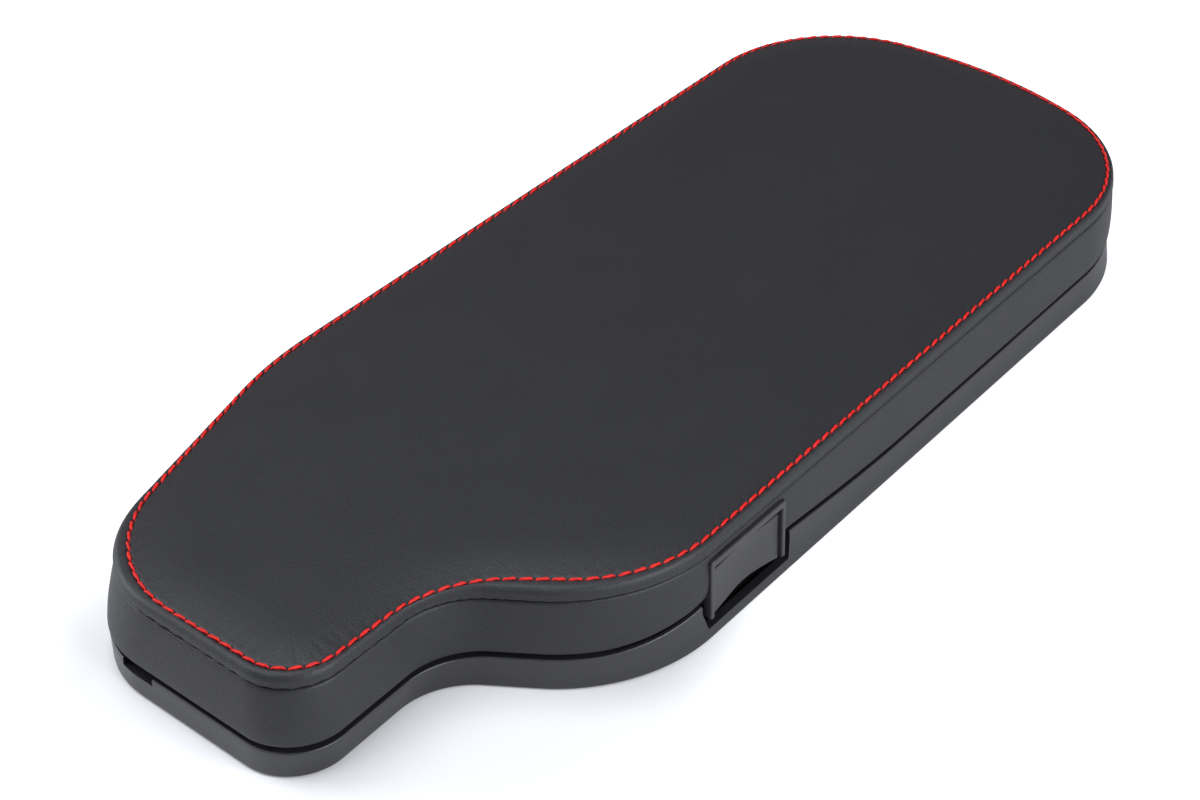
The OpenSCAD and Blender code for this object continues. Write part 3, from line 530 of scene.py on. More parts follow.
# Share, inset and height of the cover from its lip in the crease over the roll
COVER_LIP = [
    [1, 3.0, 28.6], [1, 2.2, 28.3], [1, 1.45, 28.16], [1, 0.75, 28.18], [1, 0.3, 28.42],
    [1, 0.14, 28.82], [1, 0.27, 29.35], [1, 0.26, 29.95], [1.134, 0.1, 31.0],
    [1.357, 0.05, 31.85], [ROLL_SHARE, 0, ROLL_TOP],
]
# Shares from the roll to the stitch line, close enough for the thread's valley
VALLEY_SHARES = (1.68, 1.74, 1.79, 1.84, 1.88, 1.92, 1.96, 2.0)
VALLEY_RISE = 0.14
# Inset from the stitch line and height of the padded crown
CROWN_INSET = 14
CROWN_TOP = 33.95
CROWN = [
    [0, ROLL_TOP + VALLEY_RISE], [1.0, 32.42], [2.2, 32.62], [3.6, 32.88], [5.2, 33.16],
    [7.4, 33.48], [10, 33.74], [CROWN_INSET, CROWN_TOP],
]
# Share, inset and height of the cover's underside, from the middle back to the lip
COVER_INNER = [
    [2, 14, 32.75], [2, 5, 32.0], [2, 0, 30.9], [1.357, 1.2, 30.6], [1, 1.6, 29.8], [1, 3.0, 29.2],
]
# Depth and reach of the thread's valley, of the needle holes and of the pull round each hole
VALLEY_DEPTH, VALLEY_REACH = 0.38, 0.6
HOLE_DEPTH, HOLE_REACH = 0.5, 0.42
PULL_DEPTH, PULL_ACROSS, PULL_ALONG = 0.10, 1.8, 0.9
# Height, seed and longest wave of each part of the top's slow rise and fall
UNDULATION = [(0.06, 3, 110), (0.02, 4, 42)]
# Puckers of the crease: everywhere, and more near two places, across the nose and in the cut-out
PUCKER = 0.25
PUCKER_PLACES = [(0.9, (-12, -172, 46)), (0.45, (40, -118, 34))]
# Wrinkles inside the nose's corners: their height, distance from the thread and reach
WRINKLE_HEIGHT, WRINKLE_MIDDLE, WRINKLE_REACH = 0.06, 3.4, 3.2
# Puckers of the lip in the crease and slow waves of the roll: their size, height and reach
PUCKER_PUSH, PUCKER_Z, PUCKER_REACH = 0.30, 28.3, 0.75
ROLL_WAVE, ROLL_Z, ROLL_REACH = 0.03, 30.6, 1.6
# The rings from this height on are dressed with the valley, the holes and the wrinkles
DRESSED_Z = 31.2
# The flat top's triangles: their size, and the inset and half the plan of the area they fill
PLATEAU_GRID = 3.0
PLATEAU_INSET = 15.8
HALF_PLAN = (75, 178)


def undulation(xy):
    """Slow rise and fall of the padded top."""
    return sum(height * waves(xy, seed, 6, longest) for height, seed, longest in UNDULATION)


def pucker_strength(points):
    """How strongly the crease is puckered at each point."""
    return PUCKER + sum(strength * near(points, *place) for strength, place in PUCKER_PLACES)


def cover_mesh():
    shell = Shell()
    index = np.arange(FINE) % PER_STITCH
    hole_run = np.minimum(index, PER_STITCH - index) * STEP
    out = outward(STITCH_LINE)
    corner = near(STITCH_LINE, 20, -168, 22) + 0.6 * near(STITCH_LINE, -50, -160, 30)
    wrinkle = waves(RUN, 21, 8, 7) * corner
    drift = 0.9 * waves(RUN, 13, 6, 40)
    crease = pucker_strength(STITCH_LINE) + 0.15 * waves(RUN, 11, 6, 60)
    crease = crease * (0.5 + 0.5 * np.cos(2 * math.pi * (RUN / PITCH) + drift))
    roll_wave = ROLL_WAVE * waves(RUN, 15, 7, 34)

    def dressed(ring, crown=0.0):
        """A ring with the thread's valley, the needle holes, wrinkles and undulation."""
        ring = ring.copy()
        d = np.linalg.norm(ring[:, :2] - STITCH_LINE, axis=1)
        inside = ((ring[:, :2] - STITCH_LINE) * out).sum(axis=1) < 0
        deep = -VALLEY_DEPTH * bell(d, 0, VALLEY_REACH)
        hole = -HOLE_DEPTH * np.exp(-(d ** 2 + hole_run ** 2) / HOLE_REACH ** 2)
        pull = -PULL_DEPTH * bell(d, 0, PULL_ACROSS) * bell(hole_run, 0, PULL_ALONG)
        ring[:, 2] += deep + hole + pull
        ring[:, 2] += WRINKLE_HEIGHT * wrinkle * bell(d, WRINKLE_MIDDLE, WRINKLE_REACH)
        ring[:, 2] += np.where(inside, undulation(ring[:, :2]) * crown, 0)
        return ring

    rings = []
    for share, inset, z in smooth_profile(COVER_LIP, 3):
        ring = lid_ring(share, inset, z)
        push = PUCKER_PUSH * crease * bell(z, PUCKER_Z, PUCKER_REACH)
        push = push - roll_wave * bell(z, ROLL_Z, ROLL_REACH)
        ring[:, :2] -= outward(ring[:, :2]) * push[:, None]
        rings.append(dressed(ring) if z > DRESSED_Z else ring)
    for share in VALLEY_SHARES:
        z = ROLL_TOP + VALLEY_RISE * (share - ROLL_SHARE) / (2 - ROLL_SHARE)
        rings.append(dressed(lid_ring(share, 0, z)))
    for inset, z in smooth_profile(CROWN, 4)[1:]:
        rings.append(dressed(lid_ring(2, inset, z), crown=min(inset / CROWN_INSET, 1)))

    # The last rings keep every second and then every fourth point
    lip = last = shell.add(rings[0])
    for j, ring in enumerate(rings[1:], 1):
        left = len(rings) - j
        every = 1 if left > 7 else 2 if left > 3 else 4
        current = shell.add(ring[::every])
        shell.join(last, current)
        last = current
    plateau(shell, last, rings[-1][::4])

    # Underside, a skin's thickness below, back to the lip
    rows = [shell.add(lid_ring(*row, STATIONS[::4])) for row in COVER_INNER]
    shell.cap(rows[0], up=False)
    for low, high in zip(rows[1:], rows):
        shell.join(low, high)
    # The faces between the lip and the underside are turned over, to face out of the leatherette
    shell.join(lip, rows[-1])
    for face in shell.faces[-(FINE // 4):]:
        face.reverse()
    return shell.mesh("padded_cover")


def plateau(shell, ring, points):
    """Even triangles over the flat top, inside a ring."""
    xs = np.arange(-HALF_PLAN[0], HALF_PLAN[0], PLATEAU_GRID)
    ys = np.arange(-HALF_PLAN[1], HALF_PLAN[1], PLATEAU_GRID * 0.866)
    spots = np.array([
        (x + (PLATEAU_GRID / 2 if j % 2 else 0), y) for j, y in enumerate(ys) for x in xs])
    area = outline(lid_corners(2), PLATEAU_INSET, STATIONS[::8])
    spots = spots[inside_polygon(spots, area)]
    flat = [Vector(p[:2]) for p in points] + [Vector(p) for p in spots]
    n = len(points)
    edges = [(i, (i + 1) % n) for i in range(n)]
    _, _, faces, origins, _, _ = delaunay_2d_cdt(flat, edges, [], 1, 1e-5)
    inner = shell.add(np.column_stack([spots, CROWN_TOP + undulation(spots)]))
    source = [o[0] for o in origins]
    for face in faces:
        where = [source[i] for i in face]
        shell.faces.append([ring[i] if i < n else inner[i - n] for i in where])


def inside_polygon(spots, polygon):
    x, y = spots[:, 0], spots[:, 1]
    hit = np.zeros(len(spots), bool)
    x1, y1 = polygon[-1]
    for x2, y2 in polygon:
        if y1 != y2:
            hit ^= ((y1 > y) != (y2 > y)) & (x < (x2 - x1) * (y - y1) / (y2 - y1) + x1)
        x1, y1 = x2, y2
    return hit


# Leatherette band round the side --------------------------------------------------------

# Share, inset and height of the band, from the edge of the turned flange round the outside
BAND_OUTER = [
    [0, 1.7, 10.7], [0, 1.05, 10.85], [0, 0.62, 11.35], [0.10, 0.33, 12.4], [0.22, 0.12, 14.5],
    [0.36, 0.02, 17], [0.52, 0, 19.7], [0.68, 0.07, 22.6], [0.83, 0.2, 25.2], [0.91, 0.3, 26.5],
    [0.96, 0.42, 27.35], [1, 0.78, 27.86], [1, 1.45, 28.02], [1, 2.9, 27.9],
]
# The same down the inside and round the flange
BAND_INNER = [
    [0.96, 3.2, 27.2], [0.83, 1.6, 25.2], [0.5, 1.3, 19], [0.16, 1.5, 13.5], [0, 2.3, 11.95],
    [0, 3.4, 11.95], [0, 3.46, 11.9], [0, 5, 11.9], [0, 5, 10.75], [0, 3.46, 10.75],
    [0, 3.4, 10.73],
]
# The band rises beside the latch outside this inset, in full up to RISE_FADE under RISE_TOP
RISE_INSET = 3.42
RISE_TOP = 22
RISE_FADE = 10
# How far the band puckers in under the crease, and the height and reach of that
BAND_PUSH, BAND_Z, BAND_REACH = 0.26, 28.0, 0.45
# Slow waves of the band's side
SIDE_WAVE, SIDE_Z, SIDE_REACH = 0.035, 20, 6
# How far the band's top drops in the crease, with more across the nose
DROP, NOSE_DROP, DROP_Z, DROP_REACH = 0.10, 0.32, 28.1, 0.5

# Opening for the latch in Y and Z: its edge curves away from the bezel's front leg
LATCH_OPENING = [
    (-75.5, 9.0), (-38.08, 9.0), (-38.08, 25.6), (-38.22, 25.95), (-38.6, 26.1), (-55.5, 26.12),
    (-59.0, 26.25), (-62.0, 26.46), (-64.5, 26.54), (-67.0, 26.38), (-69.0, 26.16),
    (-70.3, 26.1), (-70.75, 25.95), (-70.92, 25.6), (-70.95, 21.5), (-71.05, 19.5),
    (-71.3, 17.8), (-71.75, 16.4), (-72.4, 15.3), (-73.2, 14.6), (-74.2, 14.15), (-75.5, 13.9),
]
LATCH_OPENING_X = (56, 80)
# Room for the hinge's knuckles and for its leaf under the band's flange
HINGE_OPENING = (-32.6, 8.6, 170.5, 182, 9, 13.8)
LEAF_OPENING = (-32.3, 8.3, 156.7, 172, 9, 12.15)
# How far the leatherette sinks at the latch's opening, within which reach, and beyond which X
LIP_SINK, LIP_REACH, LIP_X = 0.15, 0.7, 65


def band_mesh():
    shell = Shell()
    stations, _ = even_stations(FINE // 2, lid_corners(0.5))
    middle = outline(lid_corners(0.5), 0, stations)
    crease = pucker_strength(middle) * (0.5 + 0.5 * np.cos(
        2 * math.pi * np.interp(stations, STATIONS, RUN) / PITCH))
    slow = SIDE_WAVE * waves(middle, 31, 7, 60)
    nose = near(middle, -16, -170, 50)
    broken = waves(middle, 33, 8, 14)
    drop = DROP + NOSE_DROP * nose * (0.55 + 0.45 * broken)

    def risen(share, inset, z):
        """A ring of the band, raised beside the latch, and less so higher up."""
        ring = lid_ring(share, inset, z, stations)
        if inset < RISE_INSET:
            ring[:, 2] += rise(ring) * min(max((RISE_TOP - z) / RISE_FADE, 0), 1)
        return ring

    rings = []
    for share, inset, z in smooth_profile(BAND_OUTER, 2):
        ring = risen(share, inset, z)
        push = BAND_PUSH * crease * bell(z, BAND_Z, BAND_REACH) - slow * bell(z, SIDE_Z, SIDE_REACH)
        ring[:, :2] -= outward(ring[:, :2]) * push[:, None]
        ring[:, 2] -= drop * bell(z, DROP_Z, DROP_REACH)
        rings.append(shell.add(ring))
    rings += [shell.add(risen(*row)) for row in BAND_INNER]
    shell.join_round(rings)
    return shell.mesh("side_cover")


def soften_lip(mesh):
    """Rounds the leatherette in towards the latch's opening."""
    points = np.array([v.co for v in mesh.vertices]) / MM
    distance = np.full(len(points), np.inf)
    edge = np.array(LATCH_OPENING[1:])
    for a, b in zip(edge[:-1], edge[1:]):
        along = np.clip(((points[:, 1:] - a) @ (b - a)) / ((b - a) @ (b - a)), 0, 1)
        offset = points[:, 1:] - a - along[:, None] * (b - a)
        distance = np.minimum(distance, np.linalg.norm(offset, axis=1))
    points[:, 0] -= np.where(points[:, 0] > LIP_X, LIP_SINK * bell(distance, 0, LIP_REACH), 0)
    mesh.vertices.foreach_set("co", (points * MM).ravel())
    mesh.update()


cover = piece("padded_cover", cover_mesh(), "lid", "leatherette", ["top_cover"])

band = piece("side_cover", band_mesh(), "lid", "leatherette", ["side_band"])
cut_away(band, [
    prism(LATCH_OPENING, *LATCH_OPENING_X), block(*HINGE_OPENING), block(*LEAF_OPENING)])
soften_lip(band.data)
shade(band.data)


# Foam -----------------------------------------------------------------------------------

# Room for the risen rim, as insets and heights, and for the bezel's front leg
RIM_ROOM_INSETS = (-2, 5.0)
RIM_ROOM_Z = (11.0, 15.6)
LEG_ROOM = (67.4, 75, -77.2, -70.3, 12.6, 23.5)


def rim_room():
    """The strip that clears the risen rim, round the shoulder and on along the latch side."""
    stations = np.concatenate([np.linspace(-0.15, 0.5, 14), np.linspace(0.55, 0.78, 4)])
    outer, inner = (outline(EDGE, inset, stations) for inset in RIM_ROOM_INSETS)
    ring = np.vstack([outer, inner[::-1]])
    return solid(*(np.column_stack([ring, np.full(len(ring), z)]) for z in RIM_ROOM_Z))


def foam_core():
    """The CAD's foam pad with room for the risen rim and for the side of the bezel."""
    work = bmesh.new()
    work.from_mesh(frame["nodes"]["foam_pad"].data)
    bmesh.ops.remove_doubles(work, verts=work.verts, dist=1e-6)
    mesh = bpy.data.meshes.new("foam_core")
    work.to_mesh(mesh)
    work.free()
    core = piece("foam_core", mesh, "lid", "foam", ["foam_pad"])
    cut_away(core, [rim_room(), block(*LEG_ROOM)])
    shade(core.data)


foam_core()


# Thread ---------------------------------------------------------------------------------

THREAD_R = 0.41
THREAD_Z = 32.30
STITCH_HALF = 1.86
SLANT = math.radians(7)
# How deep a stitch dives at its ends, and how much thinner it is there
DIVE = 0.62
THINNER = 0.5
# Depth of the groove between the two plies, their twist in a half stitch, and the thread's flatness
PLY = 0.13
TWIST = 2.6
FLAT = 0.92


def thread_mesh():
    """Two-ply stitches: each lies straight and dives into a needle hole at both ends."""
    shell = Shell()
    rng = np.random.default_rng(5)
    sides, steps = 10, 12
    phi = np.arange(sides) / sides * 2 * math.pi
    for i in range(STITCHES):
        middle = i * PER_STITCH + PER_STITCH // 2
        ends = [STITCH_LINE[(middle + k) % FINE] for k in (-3, 3)]
        along = (ends[1] - ends[0]) / np.linalg.norm(ends[1] - ends[0])
        aside = np.array([-along[1], along[0]])
        slant = SLANT * (1 + 0.25 * rng.normal())
        size = 1 + 0.04 * rng.normal()
        turn = rng.uniform(0, math.pi)
        rings = []
        for v in np.linspace(-1, 1, steps):
            reach = STITCH_HALF * v
            plan = STITCH_LINE[middle] + along * reach * math.cos(slant)
            plan = plan + aside * reach * math.sin(slant)
            height = THREAD_Z - DIVE * abs(v) ** 7
            radius = THREAD_R * size * (1 - THINNER * abs(v) ** 4)
            ply = 1 + PLY * np.cos(2 * (phi - turn - TWIST * v))
            across = radius * ply * np.cos(phi)
            up = radius * ply * np.sin(phi) * FLAT
            rings.append(shell.add(np.column_stack([
                plan[0] + aside[0] * across, plan[1] + aside[1] * across, height + up])))
        shell.cap(rings[0], up=True)
        for low, high in zip(rings[1:], rings):
            shell.join(low, high)
        shell.cap(rings[-1], up=False)
    return shell.mesh("stitch_thread")


piece("stitch_thread", thread_mesh(), "lid", "thread", ["top_stitching"], sharp=70)


# Plastic shells over copies of the CAD's nodes ------------------------------------------

# How far a shell stands out of the CAD's surface, and the radius of its edges
PROUD = 0.03
EDGE_R = 0.35
EDGE_ANGLES = np.radians([0, 22, 45, 68, 90])


def covered(name, node, shell_mesh, push):
    """A copy of a rigid CAD node, its outer points moved in by push, inside a smooth shell."""
    source = frame["nodes"][node]
    work = bmesh.new()
    work.from_mesh(source.data)
    for vertex in work.verts:
        vertex.co = Vector(push(*(vertex.co / MM))) * MM
    work.from_mesh(shell_mesh)
    mesh = bpy.data.meshes.new(name)
    work.to_mesh(mesh)
    work.free()
    bpy.data.meshes.remove(shell_mesh)
    row = next(r for r in frame["record"]["subparts"] if r["node"] == node)
    piece(name, mesh, source["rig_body"], row["material_slot"], [node], sharp=32)


# Bezel: width of its legs and bar, depth of the shell, and radius of its corners
BEZEL_LEG = 1.4
BEZEL_BAR = 2.0
LEG_DEPTH = 2.4
BEZEL_OUTER_R = 1.2
BEZEL_INNER_R = 0.5


def inverted_u(side, bar, radius):
    """Y and Z of an inverted U, inset from the bezel's sides and from its top."""
    y0, y1 = LATCH_Y - BEZEL_HALF + side, LATCH_Y + BEZEL_HALF - side
    top, foot = BEZEL_TOP - bar, BEZEL_FOOT - PROUD
    turn = np.linspace(0, math.pi / 2, 7)
    left = [(y0 + radius * (1 - math.cos(a)), top - radius * (1 - math.sin(a))) for a in turn]
    right = [(y1 - (y - y0), z) for y, z in reversed(left)]
    return [(y0, foot)] + left + right + [(y1, foot)]


def bezel_mesh():
    """The bezel's U with rounded edges."""
    back = BEZEL_X - LEG_DEPTH
    outer = [(back, inverted_u(-PROUD, -PROUD, BEZEL_OUTER_R))]
    inner = [(back, inverted_u(BEZEL_LEG + PROUD, BEZEL_BAR + PROUD, BEZEL_INNER_R))]
    for a in EDGE_ANGLES:
        e = EDGE_R * (1 - math.cos(a))
        x = BEZEL_X - EDGE_R * (1 - math.sin(a))
        outer.append((x, inverted_u(e - PROUD, e - PROUD, BEZEL_OUTER_R - e)))
        inner.append((x, inverted_u(BEZEL_LEG - e + PROUD, BEZEL_BAR - e + PROUD,
                                    BEZEL_INNER_R + e)))
    shell = Shell()
    grid = [shell.add([(x, y, z) for y, z in path]) for x, path in outer + inner[::-1]]
    for low, high in zip(grid, grid[1:] + grid[:1]):
        for i in range(len(low) - 1):
            shell.faces.append([low[i], high[i], high[i + 1], low[i + 1]])
    shell.faces.append([ring[0] for ring in grid[::-1]])
    shell.faces.append([ring[-1] for ring in grid])
    return shell.mesh("bezel")


def bezel_push(x, y, z):
    return min(x, BEZEL_X - EDGE_R), y, z


# Paddle: half length, face, lower and upper end, back of the shell, and rise of the lower edge
PADDLE_HALF = 14.6
PADDLE_X = 72.2
PADDLE_Z = (7.0, 21.9)
PADDLE_MID = sum(PADDLE_Z) / 2
PADDLE_BACK = 69.0
ARCH_RISE = 2.2
# Finger scoop: depth, height of its middle, half its height, twice its radius along the paddle,
# and how sharply it begins
SCOOP_D = 1.25
SCOOP_Z = 15.8
SCOOP_HALF = 8.2
SCOOP_ACROSS = 150
SCOOP_SHARP = 5
# The CAD's plate goes back by the first value and shrinks by the others in Y and Z
PLATE_BACK = 0.6
PLATE_Y = 0.99
PLATE_Z = 0.93


def border_steps(length, radius, count):
    """Distances from 0 to a length, close together at both ends."""
    ends = radius * np.array([0, 0.08, 0.29, 0.62, 1.0])
    inner = np.linspace(ends[-1], length - ends[-1], count)
    return np.concatenate([ends[:-1], inner, length - ends[-2::-1]])


def scooped(run, z):
    """X of the paddle's face: flat above and hollow below, with a soft start of the hollow."""
    scoop = PADDLE_X - SCOOP_D * (1 - ((z - SCOOP_Z) / SCOOP_HALF) ** 2) + run * run / SCOOP_ACROSS
    return -math.log(math.exp(-SCOOP_SHARP * (scoop - PADDLE_X)) + 1) / SCOOP_SHARP + PADDLE_X


def paddle_mesh():
    """The paddle's plate: a scooped face with rounded edges over an arched lower edge."""
    arch_r = (PADDLE_HALF ** 2 + ARCH_RISE ** 2) / (2 * ARCH_RISE)
    z0, z1 = PADDLE_Z
    across = border_steps(2 * PADDLE_HALF, EDGE_R, 45)
    upward = border_steps(z1 - z0, EDGE_R, 27) / (z1 - z0)
    shell = Shell()
    face, back = [], []
    for v in upward:
        row = []
        for s in across:
            run = s - PADDLE_HALF
            low = z0 + math.sqrt(arch_r ** 2 - run ** 2) - (arch_r - ARCH_RISE)
            z = low + v * (z1 - low)
            side = max(EDGE_R - min(s, 2 * PADDLE_HALF - s), 0)
            end = max(EDGE_R - min(z - low, z1 - z), 0)
            edge = EDGE_R - math.sqrt(max(EDGE_R ** 2 - (side * side + end * end), 0))
            row.append((scooped(run, z) - edge, LATCH_Y + run, z))
        face.append(shell.add(row))
        back.append([(PADDLE_BACK, y, z) for _, y, z in row])
    back = [shell.add(row) for row in back]
    rows, columns = len(upward), len(across)
    for j in range(rows - 1):
        for i in range(columns - 1):
            shell.faces.append([face[j][i], face[j][i + 1], face[j + 1][i + 1], face[j + 1][i]])
            shell.faces.append([back[j][i], back[j + 1][i], back[j + 1][i + 1], back[j][i + 1]])
    edge = [(0, i) for i in range(columns)]
    edge += [(j, columns - 1) for j in range(1, rows)]
    edge += [(rows - 1, i) for i in range(columns - 2, -1, -1)]
    edge += [(j, 0) for j in range(rows - 2, 0, -1)]
    for (j, i), (l, k) in zip(edge, edge[1:] + edge[:1]):
        shell.faces.append([face[l][k], face[j][i], back[j][i], back[l][k]])
    return shell.mesh("paddle")


def paddle_push(x, y, z):
    """Sinks the CAD's plate into the shell on all sides, and leaves what lies behind it."""
    if x < PADDLE_BACK:
        return x, y, z
    y = LATCH_Y + (y - LATCH_Y) * PLATE_Y
    return x - PLATE_BACK, y, PADDLE_MID + (z - PADDLE_MID) * PLATE_Z


# Shift of each corner from the frame's rim to its foot
FOOT_SHIFT = np.array([
    [0.6, -1.2, 0], [1, 0.5, 0], [0.3, 0.5, 0], [0, 0, 0],
    [0, 0, 0], [0, 0, 0], [-1, 0, 0], [-1.3, -2.2, 0],
])
FRAME_H = 10.0
FRAME_INSET = 0.8
FOOT_R = 1.2
RIM_R = 0.4
# Height of the rim at the nose, its climb to the rear, the nose's Y and the frame's length
RIM_NOSE, RIM_CLIMB = 8.8, 1.2
NOSE_Y, LENGTH = -177, 354
# Insets at which the shell ends, inside the rim and under the foot, and its depth in the rim
WALL_INSIDE = 1.75
FOOT_INSIDE = 2.3
RIM_LIP = 1.5
# Mouth of the finger recess as Y, Z and radius
MOUTH = [
    [-71 + PROUD, 4 + PROUD, 0.5], [-35.4 - PROUD, 4 + PROUD, 0.5], [RECESS[1] - PROUD, 10, 0.4],
    [RECESS[1] - PROUD, 17, 0.1], [RECESS[0] + PROUD, 17, 0.1], [RECESS[0] + PROUD, 10, 0.4],
]
MOUTH_X = (66, 80)
# The CAD's cable notch and room for the hinge's knuckles and the swinging lid, as blocks
WALL_ROOMS = [
    (-36, -24, -184, -169, 6.6, 14), (-32.6, 8.6, 168, 184, 6.95, 14),
    (-38, 14, 173, 184, 8.4, 14),
]
# Depth to which the CAD's outer wall is moved in, and how far its underside is moved in
WALL_DEPTH = 1.3
FOOT_PUSH = 0.15


def frame_mesh():
    """The frame's outer wall, with a rounded foot and rim."""
    shell = Shell()
    stations, _ = even_stations(FINE // 2, EDGE)

    def ring(inset, z, share=None):
        """A ring at a height, or at a share of the way from the foot's rounding to the rim's.

        At share 1 the height counts from the rim's top.
        """
        nominal = z if share is None else FOOT_R + share * (FRAME_H - FOOT_R)
        xy = outline(EDGE + (1 - nominal / FRAME_H) * FOOT_SHIFT, inset, stations)
        rows = np.column_stack([xy, np.full(len(xy), float(z))])
        if share is not None:
            rim = RIM_NOSE + RIM_CLIMB * (rows[:, 1] - NOSE_Y) / LENGTH + rise(rows) + PROUD
            rows[:, 2] = np.where(share == 1, rim + z, FOOT_R + share * (rim - RIM_R - FOOT_R))
        return shell.add(rows)

    rings = [ring(FOOT_INSIDE, PROUD)]
    for a in np.radians([0, 18, 36, 54, 72, 90]):
        rings.append(ring(FRAME_INSET + FOOT_R * (1 - math.sin(a)), FOOT_R * (1 - math.cos(a))))
    for share in (0.2, 0.4, 0.6, 0.8):
        rings.append(ring(FRAME_INSET, 0, share))
    for a in EDGE_ANGLES:
        rings.append(ring(FRAME_INSET + RIM_R * (1 - math.cos(a)), -RIM_R * (1 - math.sin(a)), 1))
    rings.append(ring(WALL_INSIDE, 0, 1))
    rings.append(ring(WALL_INSIDE, -RIM_LIP, 1))
    shell.join_round(rings)
    return shell.mesh("frame_wall")


def frame_wall():
    """The outer wall with the recess's mouth, the cable notch and the hinge's room cut into it."""
    obj = bpy.data.objects.new("frame_wall", frame_mesh())
    bpy.context.scene.collection.objects.link(obj)
    mouth = [tuple(p) for p in rounded_path(MOUTH)]
    cut_away(obj, [prism(mouth, *MOUTH_X)] + [
        block(x0 + PROUD, x1 - PROUD, y0, y1, z0 + PROUD, z1)
        for x0, x1, y0, y1, z0, z1 in WALL_ROOMS])
    mesh = obj.data
    bpy.data.objects.remove(obj)
    return mesh


FRAME_EDGE = outline(EDGE, 0, np.linspace(0, len(EDGE), 1200, endpoint=False))
FRAME_OUT = outward(FRAME_EDGE)


def frame_push(x, y, z):
    """Moves points of the outer wall in, so that the smooth wall covers them."""
    offset = FRAME_EDGE - (x, y)
    nearest = int(np.argmin((offset ** 2).sum(axis=1)))
    depth = float(offset[nearest] @ FRAME_OUT[nearest])
    step = max(WALL_DEPTH - depth, FOOT_PUSH if z < 1 and depth < FOOT_INSIDE else 0)
    return x - FRAME_OUT[nearest][0] * step, y - FRAME_OUT[nearest][1] * step, z


covered("bezel_shell", "latch_bezel", bezel_mesh(), bezel_push)
covered("paddle_shell", "latch_paddle", paddle_mesh(), paddle_push)
covered("frame_shell", "console_frame", frame_wall(), frame_push)


# Stage, in metres -----------------------------------------------------------------------

FLOOR_SIZE = 6
FLOOR_Z = -0.05 * MM
FLOOR_COLOUR = (0.80, 0.80, 0.815, 1)
# The floor is lifted to white for the camera, and less so by the nose, where its shadow shows
LIFT_COLOUR = (0.97, 0.98, 1, 1)
FLOOR_LIFT = (0.04, 0.62)
SHADOW_PLACE = (0.03, -0.165, 0.0)
SHADOW_REACH = (0.078, 0.138)
# Light of the sky on the part. The camera sees it white
SKY = 0.22
# Name, place, size, power and colour of each lamp, which points at the origin
LAMPS = [
    ("key", (-0.25, -0.26, 1.26), 0.95, 12.8, (0.93, 0.95, 1.0)),
    ("right", (1.25, -0.05, 0.6), 0.9, 19, (0.94, 0.96, 1.0)),
    ("left", (-1.2, -0.6, 0.5), 0.8, 11, (0.92, 0.94, 1.0)),
]
# The photograph's camera: lens and sensor in millimetres, place, and its right, up and back
LENS = 80.22
SENSOR = 36
CAMERA_PLACE = (0.378383, -0.489004, 0.456398)
CAMERA_AXES = (
    (0.78561, 0.61835, -0.02135), (-0.35188, 0.47490, 0.80663), (0.50892, -0.62618, 0.59067))


def seen_directly(tree):
    """1 for a camera ray, so that the background shows white and lights nothing."""
    return new_node(tree, "ShaderNodeLightPath").outputs["Is Camera Ray"]


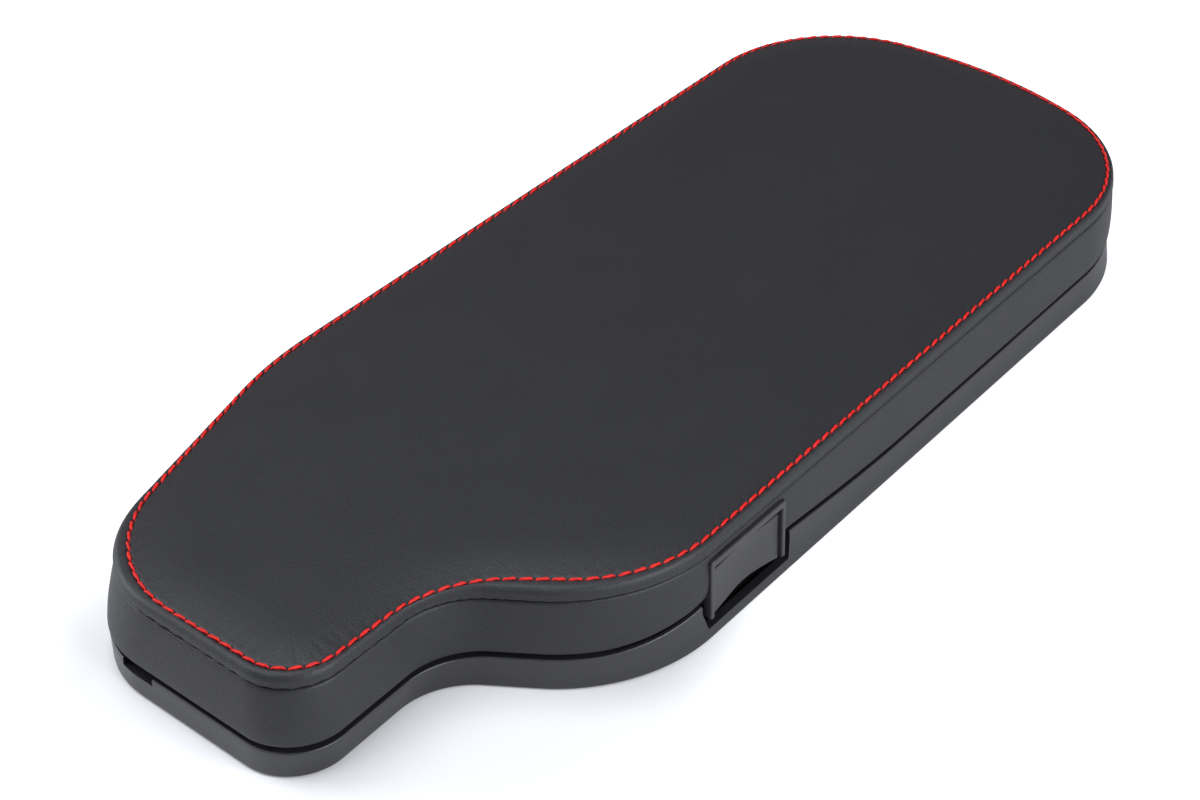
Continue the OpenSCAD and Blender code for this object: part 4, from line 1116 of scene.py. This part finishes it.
def floor():
    bpy.ops.mesh.primitive_plane_add(size=FLOOR_SIZE, location=(0, 0, FLOOR_Z))
    plane = bpy.context.object
    plane.name = "floor"
    material = bpy.data.materials.new("floor")
    material.use_nodes = True
    tree = material.node_tree
    tree.nodes.clear()
    diffuse = new_node(tree, "ShaderNodeBsdfDiffuse")
    diffuse.inputs["Color"].default_value = FLOOR_COLOUR
    glow = new_node(tree, "ShaderNodeEmission")
    glow.inputs["Color"].default_value = LIFT_COLOUR
    place = new_node(tree, "ShaderNodeTexCoord")
    reach = new_node(tree, "ShaderNodeVectorMath", operation="DISTANCE")
    reach.inputs[1].default_value = SHADOW_PLACE
    amount = map_range(tree, *SHADOW_REACH, *FLOOR_LIFT, interpolation_type="SMOOTHSTEP")
    lift = new_node(tree, "ShaderNodeMath", operation="MULTIPLY")
    add = new_node(tree, "ShaderNodeAddShader")
    out = new_node(tree, "ShaderNodeOutputMaterial")
    for output, socket in (
            (place.outputs["Object"], reach.inputs[0]),
            (reach.outputs["Value"], amount.inputs["Value"]),
            (seen_directly(tree), lift.inputs[0]),
            (amount.outputs["Result"], lift.inputs[1]),
            (lift.outputs["Value"], glow.inputs["Strength"]),
            (diffuse.outputs["BSDF"], add.inputs[0]),
            (glow.outputs["Emission"], add.inputs[1]),
            (add.outputs["Shader"], out.inputs["Surface"])):
        tree.links.new(output, socket)
    plane.data.materials.append(material)


def world():
    sky = bpy.data.worlds.new("studio")
    bpy.context.scene.world = sky
    sky.use_nodes = True
    tree = sky.node_tree
    background = tree.nodes["Background"]
    background.inputs["Color"].default_value = (1, 1, 1, 1)
    strength = map_range(tree, 0, 1, SKY, 1)
    tree.links.new(seen_directly(tree), strength.inputs["Value"])
    tree.links.new(strength.outputs["Result"], background.inputs["Strength"])


def lamp(name, place, size, power, colour):
    light = bpy.data.lights.new(name, "AREA")
    light.shape = "RECTANGLE"
    light.size = light.size_y = size
    light.energy = power
    light.color = colour
    obj = bpy.data.objects.new(name, light)
    bpy.context.scene.collection.objects.link(obj)
    obj.location = place
    obj.rotation_euler = (-Vector(place)).to_track_quat("-Z", "Y").to_euler()


def camera():
    data = bpy.data.cameras.new("camera")
    data.lens = LENS
    data.sensor_width = SENSOR
    data.clip_start = 0.01
    obj = bpy.data.objects.new("camera", data)
    bpy.context.scene.collection.objects.link(obj)
    turn = Matrix(CAMERA_AXES).transposed().to_4x4()
    obj.matrix_world = Matrix.Translation(CAMERA_PLACE) @ turn
    bpy.context.scene.camera = obj


floor()
world()
for values in LAMPS:
    lamp(*values)
camera()
bpy.context.scene.view_settings.view_transform = "Standard"
